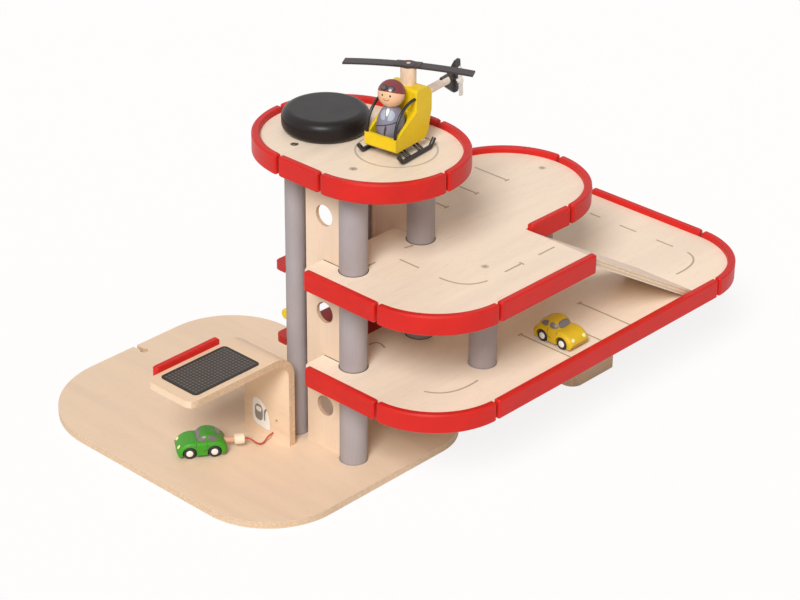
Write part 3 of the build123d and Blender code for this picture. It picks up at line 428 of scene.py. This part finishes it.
FINISHES = {
    "ply_flat": ["deck_lower", "deck_upper", "deck_roof"],
    "ply_ramp": ["ramp_board"],
    "ply_base": ["base_board"],
    "ply_wall": ["lift_wall_left", "lift_wall_right", "support_leg"],
    "ply_bend": ["charging_arch"],
    "red_x": ["lower_rail_front", "lower_rail_rear", "upper_rail_front", "upper_rail_rear", "upper_rail_step",
              "arch_rail"],
    "red_y": ["lower_rail_left", "lower_rail_right", "upper_rail_left", "roof_rail_sides"],
    "red_arc": ["lower_rail_arcs", "upper_rail_arcs", "roof_rail_arcs"],
    "red_lift_shaded": ["lift_floor", "lift_roof", "lift_uprights"],
    "grey": ["pillars_ground", "pillars_lower", "pillars_upper", "long_posts"],
    "black": ["winch_knob"],
    "yellow": ["lift_buffer_bar", "heli_body"],
    "yellow_car": ["yellow_car_body"],
    "green": ["green_car_body"],
    "steel": ["deck_screws"],
    "black_plastic": ["skid_frame", "windscreen_hoops", "tail_fin"],
    "rotor": ["main_rotor"],
    "rubber": ["green_front_tyres", "green_rear_tyres", "yellow_front_tyres", "yellow_rear_tyres"],
    "hub": ["green_front_axle", "green_rear_axle", "yellow_front_axle", "yellow_rear_axle", "tail_rotor"],
    "beech": ["heli_mast", "winch_spool", "cord_guide"],
    "beech_x": ["tail_boom"],
    "overall": ["pilot_body"],
    "skin": ["pilot_head"],
    "solar": ["solar_panel"],
    "cord_pale": ["cord_winding"],
    "plug": ["plug_body"],
    "plug_tip": ["plug_tip"],
}


# ---- pieces ---------------------------------------------------------------------------
def grid_piece(name, points, finish, body, close_columns=False, thickness=0.0):
    """A piece from a grid of points (rows, columns, 3) in metres, its poles and seams merged.

    The columns may close on themselves. thickness gives a sheet its wall, centred on it."""
    rows, columns = points.shape[:2]
    index = np.arange(rows * columns).reshape(rows, columns)
    if close_columns:
        index = np.hstack([index, index[:, :1]])
    quads = np.stack([index[:-1, :-1], index[:-1, 1:], index[1:, 1:], index[1:, :-1]], axis=-1)
    mesh = bpy.data.meshes.new(name)
    mesh.from_pydata(points.reshape(-1, 3).tolist(), [], quads.reshape(-1, 4).tolist())
    work = bmesh.new()
    work.from_mesh(mesh)
    bmesh.ops.remove_doubles(work, verts=work.verts, dist=1e-7)
    bmesh.ops.recalc_face_normals(work, faces=work.faces)
    work.to_mesh(mesh)
    work.free()
    mesh.shade_smooth()
    return finished(name, mesh, finish, body, thickness)


def finished(name, mesh, finish, body, thickness=0.0):
    """Links a mesh as a piece with its material and body."""
    piece = bpy.data.objects.new(name, mesh)
    bpy.context.scene.collection.objects.link(piece)
    mesh.materials.append(MATERIALS[finish])
    if thickness:
        wall = piece.modifiers.new("wall", "SOLIDIFY")
        wall.thickness = thickness
        wall.offset = 0.0
    if body:
        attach(piece, body)
    return piece


def placed(points, place):
    """Local points in millimetres turned about Z and moved, then in metres."""
    x, y, z, heading = place
    turn = math.radians(heading)
    spin = np.array([[math.cos(turn), -math.sin(turn), 0], [math.sin(turn), math.cos(turn), 0], [0, 0, 1]])
    return (points @ spin.T + np.array([x, y, z])) * MM


def bezier(points, count=25):
    """Points on a Bezier curve with these control points, as a whole array."""
    points = np.asarray(points, float)
    t = np.linspace(0, 1, count)[:, None]
    degree = len(points) - 1
    weights = np.hstack([math.comb(degree, k) * t ** k * (1 - t) ** (degree - k) for k in range(degree + 1)])
    return weights @ points


def ribbon(path, width):
    """A flat ribbon round a path of X, Y points: each point moved half the width to either side,
    square to the path's direction."""
    path = np.asarray(path, float)
    along = np.gradient(path, axis=0)
    along /= np.linalg.norm(along, axis=1)[:, None]
    across = np.stack([-along[:, 1], along[:, 0]], axis=1) * width / 2
    return np.stack([path - across, path, path + across], axis=1)


def join_grids(name, grids, finish, body, thickness=0.0):
    """Several open grids in one piece."""
    corners, faces, start = [], [], 0
    for grid in grids:
        rows, columns = grid.shape[:2]
        index = np.arange(rows * columns).reshape(rows, columns) + start
        quads = np.stack([index[:-1, :-1], index[:-1, 1:], index[1:, 1:], index[1:, :-1]], axis=-1)
        corners.append(grid.reshape(-1, 3))
        faces.append(quads.reshape(-1, 4))
        start += rows * columns
    mesh = bpy.data.meshes.new(name)
    mesh.from_pydata(np.vstack(corners).tolist(), [], np.vstack(faces).tolist())
    return finished(name, mesh, finish, body, thickness)


def road_marks(name, paths, top, sizes, finish="road"):
    """Printed lines on one deck: flat ribbons on its top, in millimetres times the print scale."""
    width = sizes.line_width / MM
    grids = []
    for order, path in enumerate(paths):
        flat = ribbon(np.asarray(path, float), width)
        height = np.full(flat.shape[:2] + (1,), top + sizes.film / MM + 0.015 * (order % 3))
        grids.append(np.concatenate([flat, height], axis=2) * MM)
    return join_grids(name, grids, finish, "garage", 0.00008)


def straight(a, b):
    return np.linspace(a, b, 3)


def outlined(outline, rings=14, count=96):
    """A filled patch (rings, count, 2): a closed outline smoothed by cutting its corners three
    times, resampled evenly, and shrunk towards its middle ring by ring."""
    line = np.asarray(outline, float)
    for _ in range(3):
        after = np.roll(line, -1, axis=0)
        line = np.stack([0.78 * line + 0.22 * after, 0.22 * line + 0.78 * after], axis=1).reshape(-1, 2)
    closed = np.vstack([line, line[:1]])
    steps = np.concatenate([[0], np.cumsum(np.linalg.norm(np.diff(closed, axis=0), axis=1))])
    places = np.linspace(0, steps[-1], count, endpoint=False)
    even = np.stack([np.interp(places, steps, closed[:, k]) for k in (0, 1)], axis=1)
    middle = even.mean(axis=0)
    scale = np.linspace(0, 1, rings)[:, None, None]
    return middle + scale * (even[None] - middle)


# ---- cords ----------------------------------------------------------------------------
def tube(path, radius, columns, ridges=0, pitch=1.0, height=0.0):
    """A tube round a path of points, in millimetres.

    Each ring lies in the plane square to the path: radius times the path's own side and lift
    vectors. With ridges, the radius swells by height where a yarn passes, and the yarns turn
    once in each pitch of length."""
    along = np.gradient(path, axis=0)
    along /= np.linalg.norm(along, axis=1)[:, None]
    steps = np.concatenate([[0], np.cumsum(np.linalg.norm(np.diff(path, axis=0), axis=1))])
    side = np.cross(along, np.array([0.3, 0.4, 0.86]))
    side /= np.linalg.norm(side, axis=1)[:, None]
    lift = np.cross(along, side)
    turn = np.linspace(0, 2 * math.pi, columns, endpoint=False)[None, :]
    swell = radius * np.ones((len(path), columns))
    if ridges:
        twist = ridges * (turn - 2 * math.pi * steps[:, None] / pitch) / 2
        swell = radius - height + height * np.abs(np.cos(twist))
    spokes = np.cos(turn)[..., None] * side[:, None] + np.sin(turn)[..., None] * lift[:, None]
    rings = path[:, None] + swell[..., None] * spokes
    ends = [np.repeat(path[k][None, None], columns, axis=1) for k in (0, -1)]
    return np.concatenate([ends[0], rings, ends[1]], axis=0)


def make_charge_cord(sizes):
    """The limp red cord from the canopy's wall to the plug in the green car."""
    curve = bpy.data.curves.new("charging_cord", "CURVE")
    curve.dimensions = "3D"
    spline = curve.splines.new("NURBS")
    spline.points.add(len(CORD_ROUTE) - 1)
    for point, place in zip(spline.points, CORD_ROUTE):
        point.co = (place[0] * MM, place[1] * MM, place[2] * MM, 1.0)
    spline.order_u = 3
    spline.use_endpoint_u = True
    spline.resolution_u = 16
    curve.bevel_depth = sizes.charge_cord / 2
    curve.bevel_resolution = 6
    curve.use_fill_caps = True
    curve.materials.append(MATERIALS["cord_red"])
    cord = bpy.data.objects.new("charging_cord", curve)
    bpy.context.scene.collection.objects.link(cord)
    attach(cord, "garage")
    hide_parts("charge_cord")
    return cord


def make_lift_cord(sizes):
    """The lift's cord and its turns on the drum, both of three twisted yarns."""
    radius = sizes.lift_cord / MM / 2
    start, corner, foot = (np.array(p) for p in LIFT_CORD)
    bend = 5.0
    turn = np.linspace(0, math.pi / 2, 14)[1:-1]
    arc = np.stack([np.full_like(turn, corner[0]), corner[1] + bend - bend * np.sin(turn),
                    corner[2] - bend + bend * np.cos(turn)], axis=1)
    run = np.linspace(start, corner + [0, bend, 0], 40)
    drop = np.linspace(corner - [0, 0, bend], foot, 240)
    path = np.vstack([run, arc, drop])
    grid = tube(path, radius, 18, ridges=3, pitch=7.0, height=0.22)
    cord = grid_piece("lift_hoist_cord", grid * MM, "cord_pale", None, close_columns=True)
    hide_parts("lift_cord")
    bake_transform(cord)
    turns = np.linspace(0, 3 * 2 * math.pi, 260)
    drum = np.stack([WINCH[0] + COIL_R * np.cos(turns), WINCH[1] + COIL_R * np.sin(turns),
                     COIL_Z + COIL_RISE * turns / (2 * math.pi)], axis=1)
    grid = tube(drum, radius, 14, ridges=3, pitch=7.0, height=0.2)
    coil = grid_piece("drum_cord_turns", grid * MM, "cord_pale", "winch", close_columns=True)
    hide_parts("cord_winding")


# ---- print on the boards, and painted shade in the gaps of the decks ------------------


def print_decks(sizes):
    """Road lines on both long decks and the helicopter's ring on the roof.

    The places are in print units of 1.1 mm."""
    lower = []
    for x in (153.3, 197.6, 240.5):
        lower += [straight((x, -72), (x, -136)), straight((x - TICK, -70.8), (x + TICK, -70.8))]
    lower += [bezier([(12, -78), (22, -104), (61, -99.5)])]
    lower += [bezier([(39, 17.6), (53, 18.5), (44.7, 2.9)])]
    for ends in ((47, 33), (7.5, -14.3), (-40, -61.7)):
        lower.append(straight((398.5, ends[0]), (398.5, ends[1])))
    lower.append(bezier([(398.7, -79.7), (394, -104), (353.2, -101)]))
    upper = []
    for x, back, front in ((239, 67, 26.3), (196.5, 49, 27.8), (154.3, 41, 28.3)):
        upper += [straight((x, back), (x, front)), straight((x - TICK, front - 1.3), (x + TICK, front - 1.3))]
    upper.append(bezier([(44, -65), (44, -96), (70, -100)]))
    upper += [straight((93.7, -100), (115.2, -100)), straight((116.7, -100 - TICK), (116.7, -100 + TICK))]
    upper += [straight((140.4, -100), (162.7, -100)), straight((45, -15), (45, -39))]
    upper += [straight((64.4, -2.5), (74, -4.5)), straight((15.8, -3), (25.3, -3.2))]
    turn = np.linspace(0, 2 * math.pi, 120)
    radius = sizes.helipad_radius / MM
    ring = np.stack([HELIPAD[0] + radius * np.cos(turn), HELIPAD[1] + radius * np.sin(turn)], axis=1)
    road_marks("lower_deck_print", [np.asarray(path) * PRINT_UNIT for path in lower], LOWER_TOP, sizes)
    road_marks("upper_deck_print", [np.asarray(path) * PRINT_UNIT for path in upper], UPPER_TOP, sizes)
    road_marks("helipad_print", [ring], ROOF_TOP, sizes, "ring")


def paint_gap_shade(name, top, sizes):
    """Painted shade of the gaps round the two near pillars and beside the left lift wall: dark ribbons on one deck's
    top.
    """
    turn = np.linspace(0, 2 * math.pi, 80)
    paths = []
    for x in PILLARS_X:
        paths.append(np.stack([x + SLOT_R * np.cos(turn), SLOT_R * np.sin(turn)], axis=1))
    paths.append(straight((WALL_FACE_X, 14.0), (WALL_FACE_X, 37.6)))
    grids = []
    for path in paths:
        flat = ribbon(path, SLOT_WIDTH)
        height = np.full(flat.shape[:2] + (1,), top + sizes.film / MM)
        grids.append(np.concatenate([flat, height], axis=2) * MM)
    # Painted shade: dark ribbons where the gaps fall into shade.
    return join_grids(name, grids, "gap_painted_shade", "garage", 0.00005)


def extend_right_wall():
    """The right lift wall's strip beside its post: a closed box.

    Rows run bottom middle, bottom ring, top ring, top middle; columns go round the corners."""
    corners = np.array([(x, y) for x, y in zip(WALL_STRIP_X + WALL_STRIP_X[::-1], np.repeat(WALL_STRIP_Y, 2))])
    middle = np.broadcast_to(corners.mean(axis=0), corners.shape)
    low, high = WALL_STRIP_Z
    rows = [(middle, low), (corners, low), (corners, high), (middle, high)]
    points = np.stack([np.column_stack([flat, np.full(len(flat), z)]) for flat, z in rows])
    grid_piece("lift_wall_right_back", points * MM, "ply_wall", "garage", close_columns=True)


def print_charging_label():
    """A plain off-white label with a generic pump sign on the canopy's inner wall.

    Each patch is flat on the wall: its outline is in Y and Z."""
    def wall_patch(name, outline, finish, lift):
        flat = outlined(outline)
        depth = np.full(flat.shape[:2] + (1,), ARCH_WALL_X - lift)
        points = np.concatenate([depth, flat], axis=2) * MM
        return grid_piece(name, points, finish, "garage", close_columns=True, thickness=0.0001)

    wall_patch("charging_label", [(119, 16), (119, 44), (114, 49), (106, 48), (97, 38), (93, 26), (92.5, 13),
                                  (105, 14.5)], "white_print", 0.12)
    wall_patch("charging_sign_body", [(115, 22), (115, 41), (103, 41), (103, 22)], "sign_grey", 0.25)
    wall_patch("charging_sign_window", [(113, 32.5), (113, 38.5), (105, 38.5), (105, 32.5)], "white_print", 0.38)
    wall_patch("charging_sign_hose", [(101.5, 24), (101.5, 36), (98, 40), (96.8, 38.4), (99.5, 34.8), (99.5, 24)],
               "sign_grey", 0.25)


# ---- cars -----------------------------------------------------------------------------
DOME_TOP = (-6.0, 26.4)
DOME_FOOT = 12.4
DOME_X = (-24.8, 6.5)
DOME_HALF = 12.5
DOME_EDGE = 6.5
CAR_HALF = 15.0
CAR_EDGE = 4.5
CAR_BELT = 18.6
PAINT_LIFT = 0.14


def dome_circle(foot_x):
    """Height of the centre and radius of the dome's outline on one side of its top."""
    drop = DOME_TOP[1] - DOME_FOOT
    radius = ((foot_x - DOME_TOP[0]) ** 2 + drop ** 2) / (2 * drop)
    return DOME_TOP[1] - radius, radius


def dome_side(flat, side):
    """Patch on the dome's side: flat at half its width, and within the rounded edge of radius e
    at depth d from the outline, at half width - e + sqrt(e^2 - (e - d)^2)."""
    x, z = flat[..., 0], flat[..., 1]
    rear_z, rear_r = dome_circle(DOME_X[0])
    front_z, front_r = dome_circle(DOME_X[1])
    rear = rear_r - np.hypot(x - DOME_TOP[0], z - rear_z)
    front = front_r - np.hypot(x - DOME_TOP[0], z - front_z)
    depth = np.clip(np.where(x < DOME_TOP[0], rear, front), 0.0, DOME_EDGE)
    y = DOME_HALF - DOME_EDGE + np.sqrt(DOME_EDGE ** 2 - (DOME_EDGE - depth) ** 2)
    return np.stack([x, side * (y + PAINT_LIFT), z], axis=-1)


def dome_end(flat, foot_x):
    """Patch on the dome's front or back: flat holds the angle round the outline's centre and Y.
    The radius shrinks over the rounded edge as sqrt(e^2 - (|y| - h)^2)."""
    angle, y = np.radians(flat[..., 0]), flat[..., 1]
    centre_z, radius = dome_circle(foot_x)
    over = np.clip(np.abs(y) - (DOME_HALF - DOME_EDGE), 0.0, DOME_EDGE)
    reach = radius - DOME_EDGE + np.sqrt(DOME_EDGE ** 2 - over ** 2) + PAINT_LIFT
    side = 1 if foot_x > DOME_TOP[0] else -1
    return np.stack([DOME_TOP[0] + side * reach * np.cos(angle), y, centre_z + reach * np.sin(angle)], axis=-1)


def body_side(path, side, width=0.55):
    """A thin painted line on the car's side, carried over the body's rounded shoulder."""
    flat = ribbon(path, width)
    x, z = flat[..., 0], flat[..., 1]
    over = np.clip(z - (CAR_BELT - CAR_EDGE), 0.0, CAR_EDGE)
    y = CAR_HALF - CAR_EDGE + np.sqrt(CAR_EDGE ** 2 - over ** 2)
    return np.stack([x, side * (y + PAINT_LIFT / 2), z], axis=-1)


def domed_disc(centre, normal, radius, height, rings=8, count=28):
    """A shallow dome: circles of radius r*sin(t), raised by height*cos(t), for t from 0 to 90
    degrees, about a normal."""
    normal = np.asarray(normal, float) / np.linalg.norm(normal)
    side = np.cross(normal, [0.12, 0.2, 0.97])
    side /= np.linalg.norm(side)
    lift = np.cross(normal, side)
    t = np.linspace(0, math.pi / 2, rings)[:, None, None]
    turn = np.linspace(0, 2 * math.pi, count + 1)[None, :, None]
    spread = radius * np.sin(t) * (np.cos(turn) * side + np.sin(turn) * lift)
    return np.asarray(centre, float) + spread + height * np.cos(t) * normal


def dress_car(name, place, body):
    """Windows, lamps, door lines and hub caps of one car."""
    side_front = [(-4.9, 18.9), (5.0, 18.9), (2.6, 22.2), (-1.2, 24.5), (-4.9, 24.8)]
    side_rear = [(-18.2, 18.9), (-6.9, 18.9), (-6.9, 24.8), (-11.5, 24.4), (-15.8, 22.2)]
    for label, side in (("left", 1), ("right", -1)):
        for part, outline in (("front", side_front), ("rear", side_rear)):
            points = placed(dome_side(outlined(outline), side), place)
            grid_piece(f"{name}_{part}_window_{label}", points, "window", body,
                       close_columns=True, thickness=0.0001)
        lines = [[(-6.0, 18.4), (-6.0, 11.0)], [(-6.0, 11.0), (-4.6, 8.8), (-1.0, 8.6)],
                 [(5.6, 17.9), (6.2, 14.4)]]
        grids = [placed(body_side(bezier(line, 9), side), place) for line in lines]
        join_grids(f"{name}_door_lines_{label}", grids, "seam", body, 0.00006)
    screen = [(23, -9.0), (55, -8.0), (59, 0), (55, 8.0), (23, 9.0)]
    grid_piece(f"{name}_windscreen", placed(dome_end(outlined(screen), DOME_X[1]), place), "window", body,
               close_columns=True, thickness=0.0001)
    back = [(38.5, -8.0), (60, -7.0), (62, 0), (60, 7.0), (38.5, 8.0)]
    grid_piece(f"{name}_rear_screen", placed(dome_end(outlined(back), DOME_X[0]), place), "window", body,
               close_columns=True, thickness=0.0001)
    lamps = [placed(domed_disc((23.8, y, 12.4), (0.75, 0, 0.66), 2.3, 0.9), place) for y in (-8.6, 8.6)]
    join_grids(f"{name}_head_lamps", lamps, "lamp", body)
    for end, x in (("front", 13.0), ("rear", -13.0)):
        caps = [placed(domed_disc((x, side * 14.55, 6.6), (0, side, 0), 3.7, 1.0), place) for side in (-1, 1)]
        join_grids(f"{name}_{end}_hub_caps", caps, "hub", f"{name}_{end}_wheels")


# ---- pilot and helicopter -------------------------------------------------------------
FACE_TURN = 13.0  # the figure looks a little to the side of the nose


def on_head(azimuth, elevation, lift):
    """Point on the round head: centre + (r + lift) times the direction of these angles, which
    are counted from where the face looks."""
    a = np.radians(np.asarray(azimuth) + FACE_TURN)
    e = np.radians(np.asarray(elevation))
    reach = HEAD_R + lift
    return np.stack([COCKPIT_X + reach * np.cos(e) * np.cos(a), reach * np.cos(e) * np.sin(a),
                     HEAD_Z + reach * np.sin(e)], axis=-1)


def head_patch(name, outline, finish, lift):
    flat = outlined(outline)
    points = on_head(flat[..., 0], flat[..., 1], lift)
    return grid_piece(name, placed(points, HELICOPTER), finish, "pilot", close_columns=True,
                      thickness=0.0001)


def oval(azimuth, elevation, wide, high):
    turn = np.linspace(0, 2 * math.pi, 12, endpoint=False)
    return np.stack([azimuth + wide * np.cos(turn), elevation + high * np.sin(turn)], axis=1)


def paint_head():
    """Cap, goggles and the plain painted face on the figure's round head.

    The cap covers the sphere from its top down to an edge at 6 + 22 cos(azimuth) degrees."""
    around = np.linspace(0, 360, 96, endpoint=False)[None, :]
    edge = 6.0 + 22.0 * np.cos(np.radians(around))
    down = np.linspace(0, 1, 26)[:, None]
    elevation = 90.0 + (edge - 90.0) * down
    lift = 0.45 * np.sqrt(np.clip(1.0 - down ** 14, 0, 1)) + 0.02
    cap = on_head(around + 0 * down, elevation, lift)
    grid_piece("pilot_cap", placed(cap, HELICOPTER), "maroon", "pilot", close_columns=True)
    for label, side in (("left", 1), ("right", -1)):
        head_patch(f"goggle_frame_{label}", oval(side * 21, 42, 24, 12.5), "lens", 1.0)
        head_patch(f"goggle_lens_{label}", oval(side * 21, 42, 15.5, 7.5), "goggle_glass", 1.35)
        head_patch(f"pilot_eye_{label}", oval(side * 18, 11.5, 3.8, 5.2), "lens", 0.08)
    nose = domed_disc(on_head(0.0, 4.5, -0.15), on_head(0.0, 4.5, 1.0) - on_head(0.0, 4.5, 0.0), 1.5, 1.1)
    join_grids("pilot_nose", [placed(nose, HELICOPTER)], "skin", "pilot")
    smile = bezier([(-14.0, -3.0), (0.0, -19.0), (14.0, -3.0)], 19)
    line = ribbon(smile, 2.2)
    mouth = placed(on_head(line[..., 0], line[..., 1], 0.08), HELICOPTER)
    join_grids("pilot_smile", [mouth], "mouth", "pilot", 0.0001)


def body_radius(height):
    """The turned body's radius at a height, by a smooth curve through its four named points."""
    heights = np.array([0.0, 13.0, 26.0, 37.0])
    radii = np.array([10.5, 14.8, 12.6, 6.0])
    return np.polyval(np.polyfit(heights, radii, 3), height)


def clothes_patch(name, grid, finish, lift):
    """A painted patch in azimuth and height, laid on the turned body and left just above it."""
    angle = np.radians(grid[..., 0] + FACE_TURN)
    reach = body_radius(grid[..., 1]) + 0.6
    points = np.stack([COCKPIT_X + reach * np.cos(angle), reach * np.sin(angle), PILOT_BASE_Z + grid[..., 1]],
                      axis=-1)
    closed = grid.shape[0] > 5 and grid.shape[1] > 5
    piece = grid_piece(name, placed(points, HELICOPTER), finish, "pilot", close_columns=closed)
    wrap = piece.modifiers.new("lay", "SHRINKWRAP")
    wrap.target = NODES["pilot_body"]
    wrap.wrap_method = "NEAREST_SURFACEPOINT"
    wrap.wrap_mode = "ABOVE_SURFACE"
    wrap.offset = lift * MM
    return piece


def paint_clothes():
    """Collar, lapels, waist line and leg line on the figure's overall."""
    clothes_patch("pilot_collar", outlined([(-15, 36.0), (15, 36.0), (0, 27.5)]), "white_print", 0.12)
    clothes_patch("pilot_lapel_left", outlined([(18, 36.0), (50, 32), (30, 25.5), (2, 25.5)]), "lapel", 0.10)
    clothes_patch("pilot_lapel_right", outlined([(-18, 36.0), (-50, 32), (-30, 25.5), (-2, 25.5)]), "lapel", 0.10)
    clothes_patch("pilot_waist_line", ribbon(bezier([(-80, 13), (-40, 19), (0, 21), (60, 25)], 40), 1.1), "seam", 0.1)
    clothes_patch("pilot_leg_line", ribbon(bezier([(-4, 1.0), (-4, 8), (-3, 15), (4, 19.5)], 30), 7.0), "seam", 0.1)


def rotor_plate():
    """A thin plate over the middle of the rotor strip, following its droop: z = top - x^2 / 2R."""
    x = np.linspace(-13, 13, 15)[:, None]
    y = np.linspace(-6.3, 6.3, 5)[None, :]
    flat = np.stack([x + 0 * y, y + 0 * x, 2.15 - x ** 2 / 1430.0 + 0 * y], axis=-1)
    turn = math.radians(-67.0)
    spin = np.array([[math.cos(turn), -math.sin(turn), 0], [math.sin(turn), math.cos(turn), 0], [0, 0, 1]])
    points = flat @ spin.T + np.array([-18.5, 0, 84.3])
    piece = grid_piece("rotor_plate", placed(points, HELICOPTER), "rotor", "main_rotor",
                       thickness=0.0009)
    return piece


# ---- stage ----------------------------------------------------------------------------
def seen_rays(tree):
    """One for rays of the camera, of gloss and through clear matter, and zero for other light."""
    path = add(tree, "ShaderNodeLightPath")
    seen = maths(tree, "MAXIMUM", path.outputs["Is Camera Ray"], path.outputs["Is Glossy Ray"])
    return maths(tree, "MAXIMUM", seen, path.outputs["Is Transmission Ray"])


def make_stage():
    """White floor and world, a soft key light from the left and the camera."""
    scene = bpy.context.scene
    world = bpy.data.worlds.new("studio")
    world.use_nodes = True
    tree = world.node_tree
    tree.nodes.clear()
    fill = add(tree, "ShaderNodeBackground", {"Color": (1.0, 0.86, 0.74, 1.0), "Strength": 0.38})
    white = add(tree, "ShaderNodeBackground", {"Color": (1.0, 1.0, 1.0, 1.0), "Strength": 1.0})
    both = add(tree, "ShaderNodeMixShader", {0: seen_rays(tree), 1: fill.outputs[0], 2: white.outputs[0]})
    add(tree, "ShaderNodeOutputWorld", {"Surface": both.outputs[0]})
    scene.world = world
    mesh = bpy.data.meshes.new("floor")
    corners = [(x * FLOOR_HALF, y * FLOOR_HALF, FLOOR_Z) for x, y in ((-1, -1), (1, -1), (1, 1), (-1, 1))]
    mesh.from_pydata(corners, [], [(0, 1, 2, 3)])
    floor = bpy.data.objects.new("floor", mesh)
    scene.collection.objects.link(floor)
    material, tree, shader = new_material("white_paper_floor")
    feed(tree, shader, {"Base Color": (0.86, 0.86, 0.86, 1.0), "Roughness": 0.9})
    part = maths(tree, "MULTIPLY", seen_rays(tree), FLOOR_GLOW)
    glow = add(tree, "ShaderNodeEmission", {"Color": (1.0, 1.0, 1.0, 1.0), "Strength": 1.03})
    both = add(tree, "ShaderNodeMixShader", {0: part, 1: shader.outputs[0], 2: glow.outputs[0]})
    out = next(n for n in tree.nodes if n.bl_idname == "ShaderNodeOutputMaterial")
    tree.links.new(both.outputs[0], out.inputs["Surface"])
    mesh.materials.append(material)
    lamp = bpy.data.lights.new("key", "SUN")
    lamp.energy = 2.85
    lamp.angle = math.radians(22)
    lamp.color = (0.97, 0.985, 1.0)
    key = bpy.data.objects.new("key", lamp)
    key.rotation_euler = (math.radians(48), 0, math.radians(-60))
    scene.collection.objects.link(key)
    data = bpy.data.cameras.new("photo_camera")
    data.lens = 111.5
    data.sensor_width = 36.0
    data.shift_x = 0.0539
    data.shift_y = 0.0174
    data.clip_end = 50.0
    camera = bpy.data.objects.new("photo_camera", data)
    camera.location = (-1.5609, -1.5290, 1.3764)
    camera.rotation_euler = (math.radians(61.27), 0, math.radians(-45.68))
    scene.collection.objects.link(camera)
    scene.camera = camera
    scene.view_settings.view_transform = "Standard"


# ---- operators ------------------------------------------------------------------------
class GarageStage(bpy.types.Operator):
    """Make the floor, the light and the camera"""

    bl_idname = "garage.stage"
    bl_label = "Stage"

    def execute(self, context):
        make_stage()
        return {"FINISHED"}


class GarageFinishes(bpy.types.Operator):
    """Give every solid its wood, lacquer, plastic or metal"""

    bl_idname = "garage.finishes"
    bl_label = "Finishes"

    def execute(self, context):
        make_materials(context.scene.garage_paint)
        for finish, names in FINISHES.items():
            for name in names:
                mesh = NODES[name].data
                mesh.materials.clear()
                mesh.materials.append(MATERIALS[finish])
        return {"FINISHED"}


class GarageChargeCord(bpy.types.Operator):
    """Lay the charging cord from the wall to the plug"""

    bl_idname = "garage.charge_cord"
    bl_label = "Charging cord"

    def execute(self, context):
        make_charge_cord(context.scene.garage_sizes)
        return {"FINISHED"}


class GarageLiftCord(bpy.types.Operator):
    """Twist the lift's cord and its turns on the drum"""

    bl_idname = "garage.lift_cord"
    bl_label = "Lift cord"

    def execute(self, context):
        make_lift_cord(context.scene.garage_sizes)
        return {"FINISHED"}


class GarageLiftWall(bpy.types.Operator):
    """Close the right lift wall beside its post and paint shade into the gaps in the decks"""

    bl_idname = "garage.lift_wall"
    bl_label = "Lift wall"

    def execute(self, context):
        extend_right_wall()
        sizes = context.scene.garage_sizes
        paint_gap_shade("lower_deck_gap_shade", LOWER_TOP, sizes)
        paint_gap_shade("upper_deck_gap_shade", UPPER_TOP, sizes)
        return {"FINISHED"}


class GarageRoadPrint(bpy.types.Operator):
    """Print the road lines and the helipad ring"""

    bl_idname = "garage.road_print"
    bl_label = "Road print"

    def execute(self, context):
        print_decks(context.scene.garage_sizes)
        return {"FINISHED"}


class GarageLabel(bpy.types.Operator):
    """Put the plain charging label on the canopy's wall"""

    bl_idname = "garage.label"
    bl_label = "Charging label"

    def execute(self, context):
        print_charging_label()
        return {"FINISHED"}


class GarageCars(bpy.types.Operator):
    """Paint windows, lamps and door lines on both cars and cap their hubs"""

    bl_idname = "garage.cars"
    bl_label = "Cars"

    def execute(self, context):
        dress_car("green", GREEN_CAR, "green_car")
        dress_car("yellow", YELLOW_CAR, "yellow_car")
        return {"FINISHED"}


class GaragePilot(bpy.types.Operator):
    """Paint the figure's cap, goggles, face and clothes"""

    bl_idname = "garage.pilot"
    bl_label = "Pilot"

    def execute(self, context):
        paint_head()
        paint_clothes()
        return {"FINISHED"}


class GarageRotorPlate(bpy.types.Operator):
    """Lay the thin plate over the rotor's middle"""

    bl_idname = "garage.rotor_plate"
    bl_label = "Rotor plate"

    def execute(self, context):
        rotor_plate()
        return {"FINISHED"}


class GaragePanel(bpy.types.Panel):
    """Lists the garage's steps, colours and sizes"""

    bl_idname = "VIEW3D_PT_garage"
    bl_label = "Parking garage"
    bl_space_type = "VIEW_3D"
    bl_region_type = "UI"
    bl_category = "Garage"

    def draw(self, context):
        layout = self.layout
        for operator in OPERATORS:
            layout.operator(operator.bl_idname)
        for group in (context.scene.garage_paint, context.scene.garage_sizes):
            for key in group.__annotations__:
                layout.prop(group, key)


OPERATORS = [GarageStage, GarageFinishes, GarageChargeCord, GarageLiftCord, GarageLiftWall, GarageRoadPrint,
             GarageLabel, GarageCars, GaragePilot, GarageRotorPlate]
CLASSES = [GaragePaint, GarageSizes, *OPERATORS, GaragePanel]


def register():
    for each in CLASSES:
        bpy.utils.register_class(each)
    bpy.types.Scene.garage_paint = bpy.props.PointerProperty(type=GaragePaint)
    bpy.types.Scene.garage_sizes = bpy.props.PointerProperty(type=GarageSizes)


def unregister():
    del bpy.types.Scene.garage_sizes
    del bpy.types.Scene.garage_paint
    for each in reversed(CLASSES):
        bpy.utils.unregister_class(each)


def main():
    register()
    for operator in OPERATORS:
        family, action = operator.bl_idname.split(".")
        getattr(getattr(bpy.ops, family), action)()


if __name__ == "__main__":
    main()
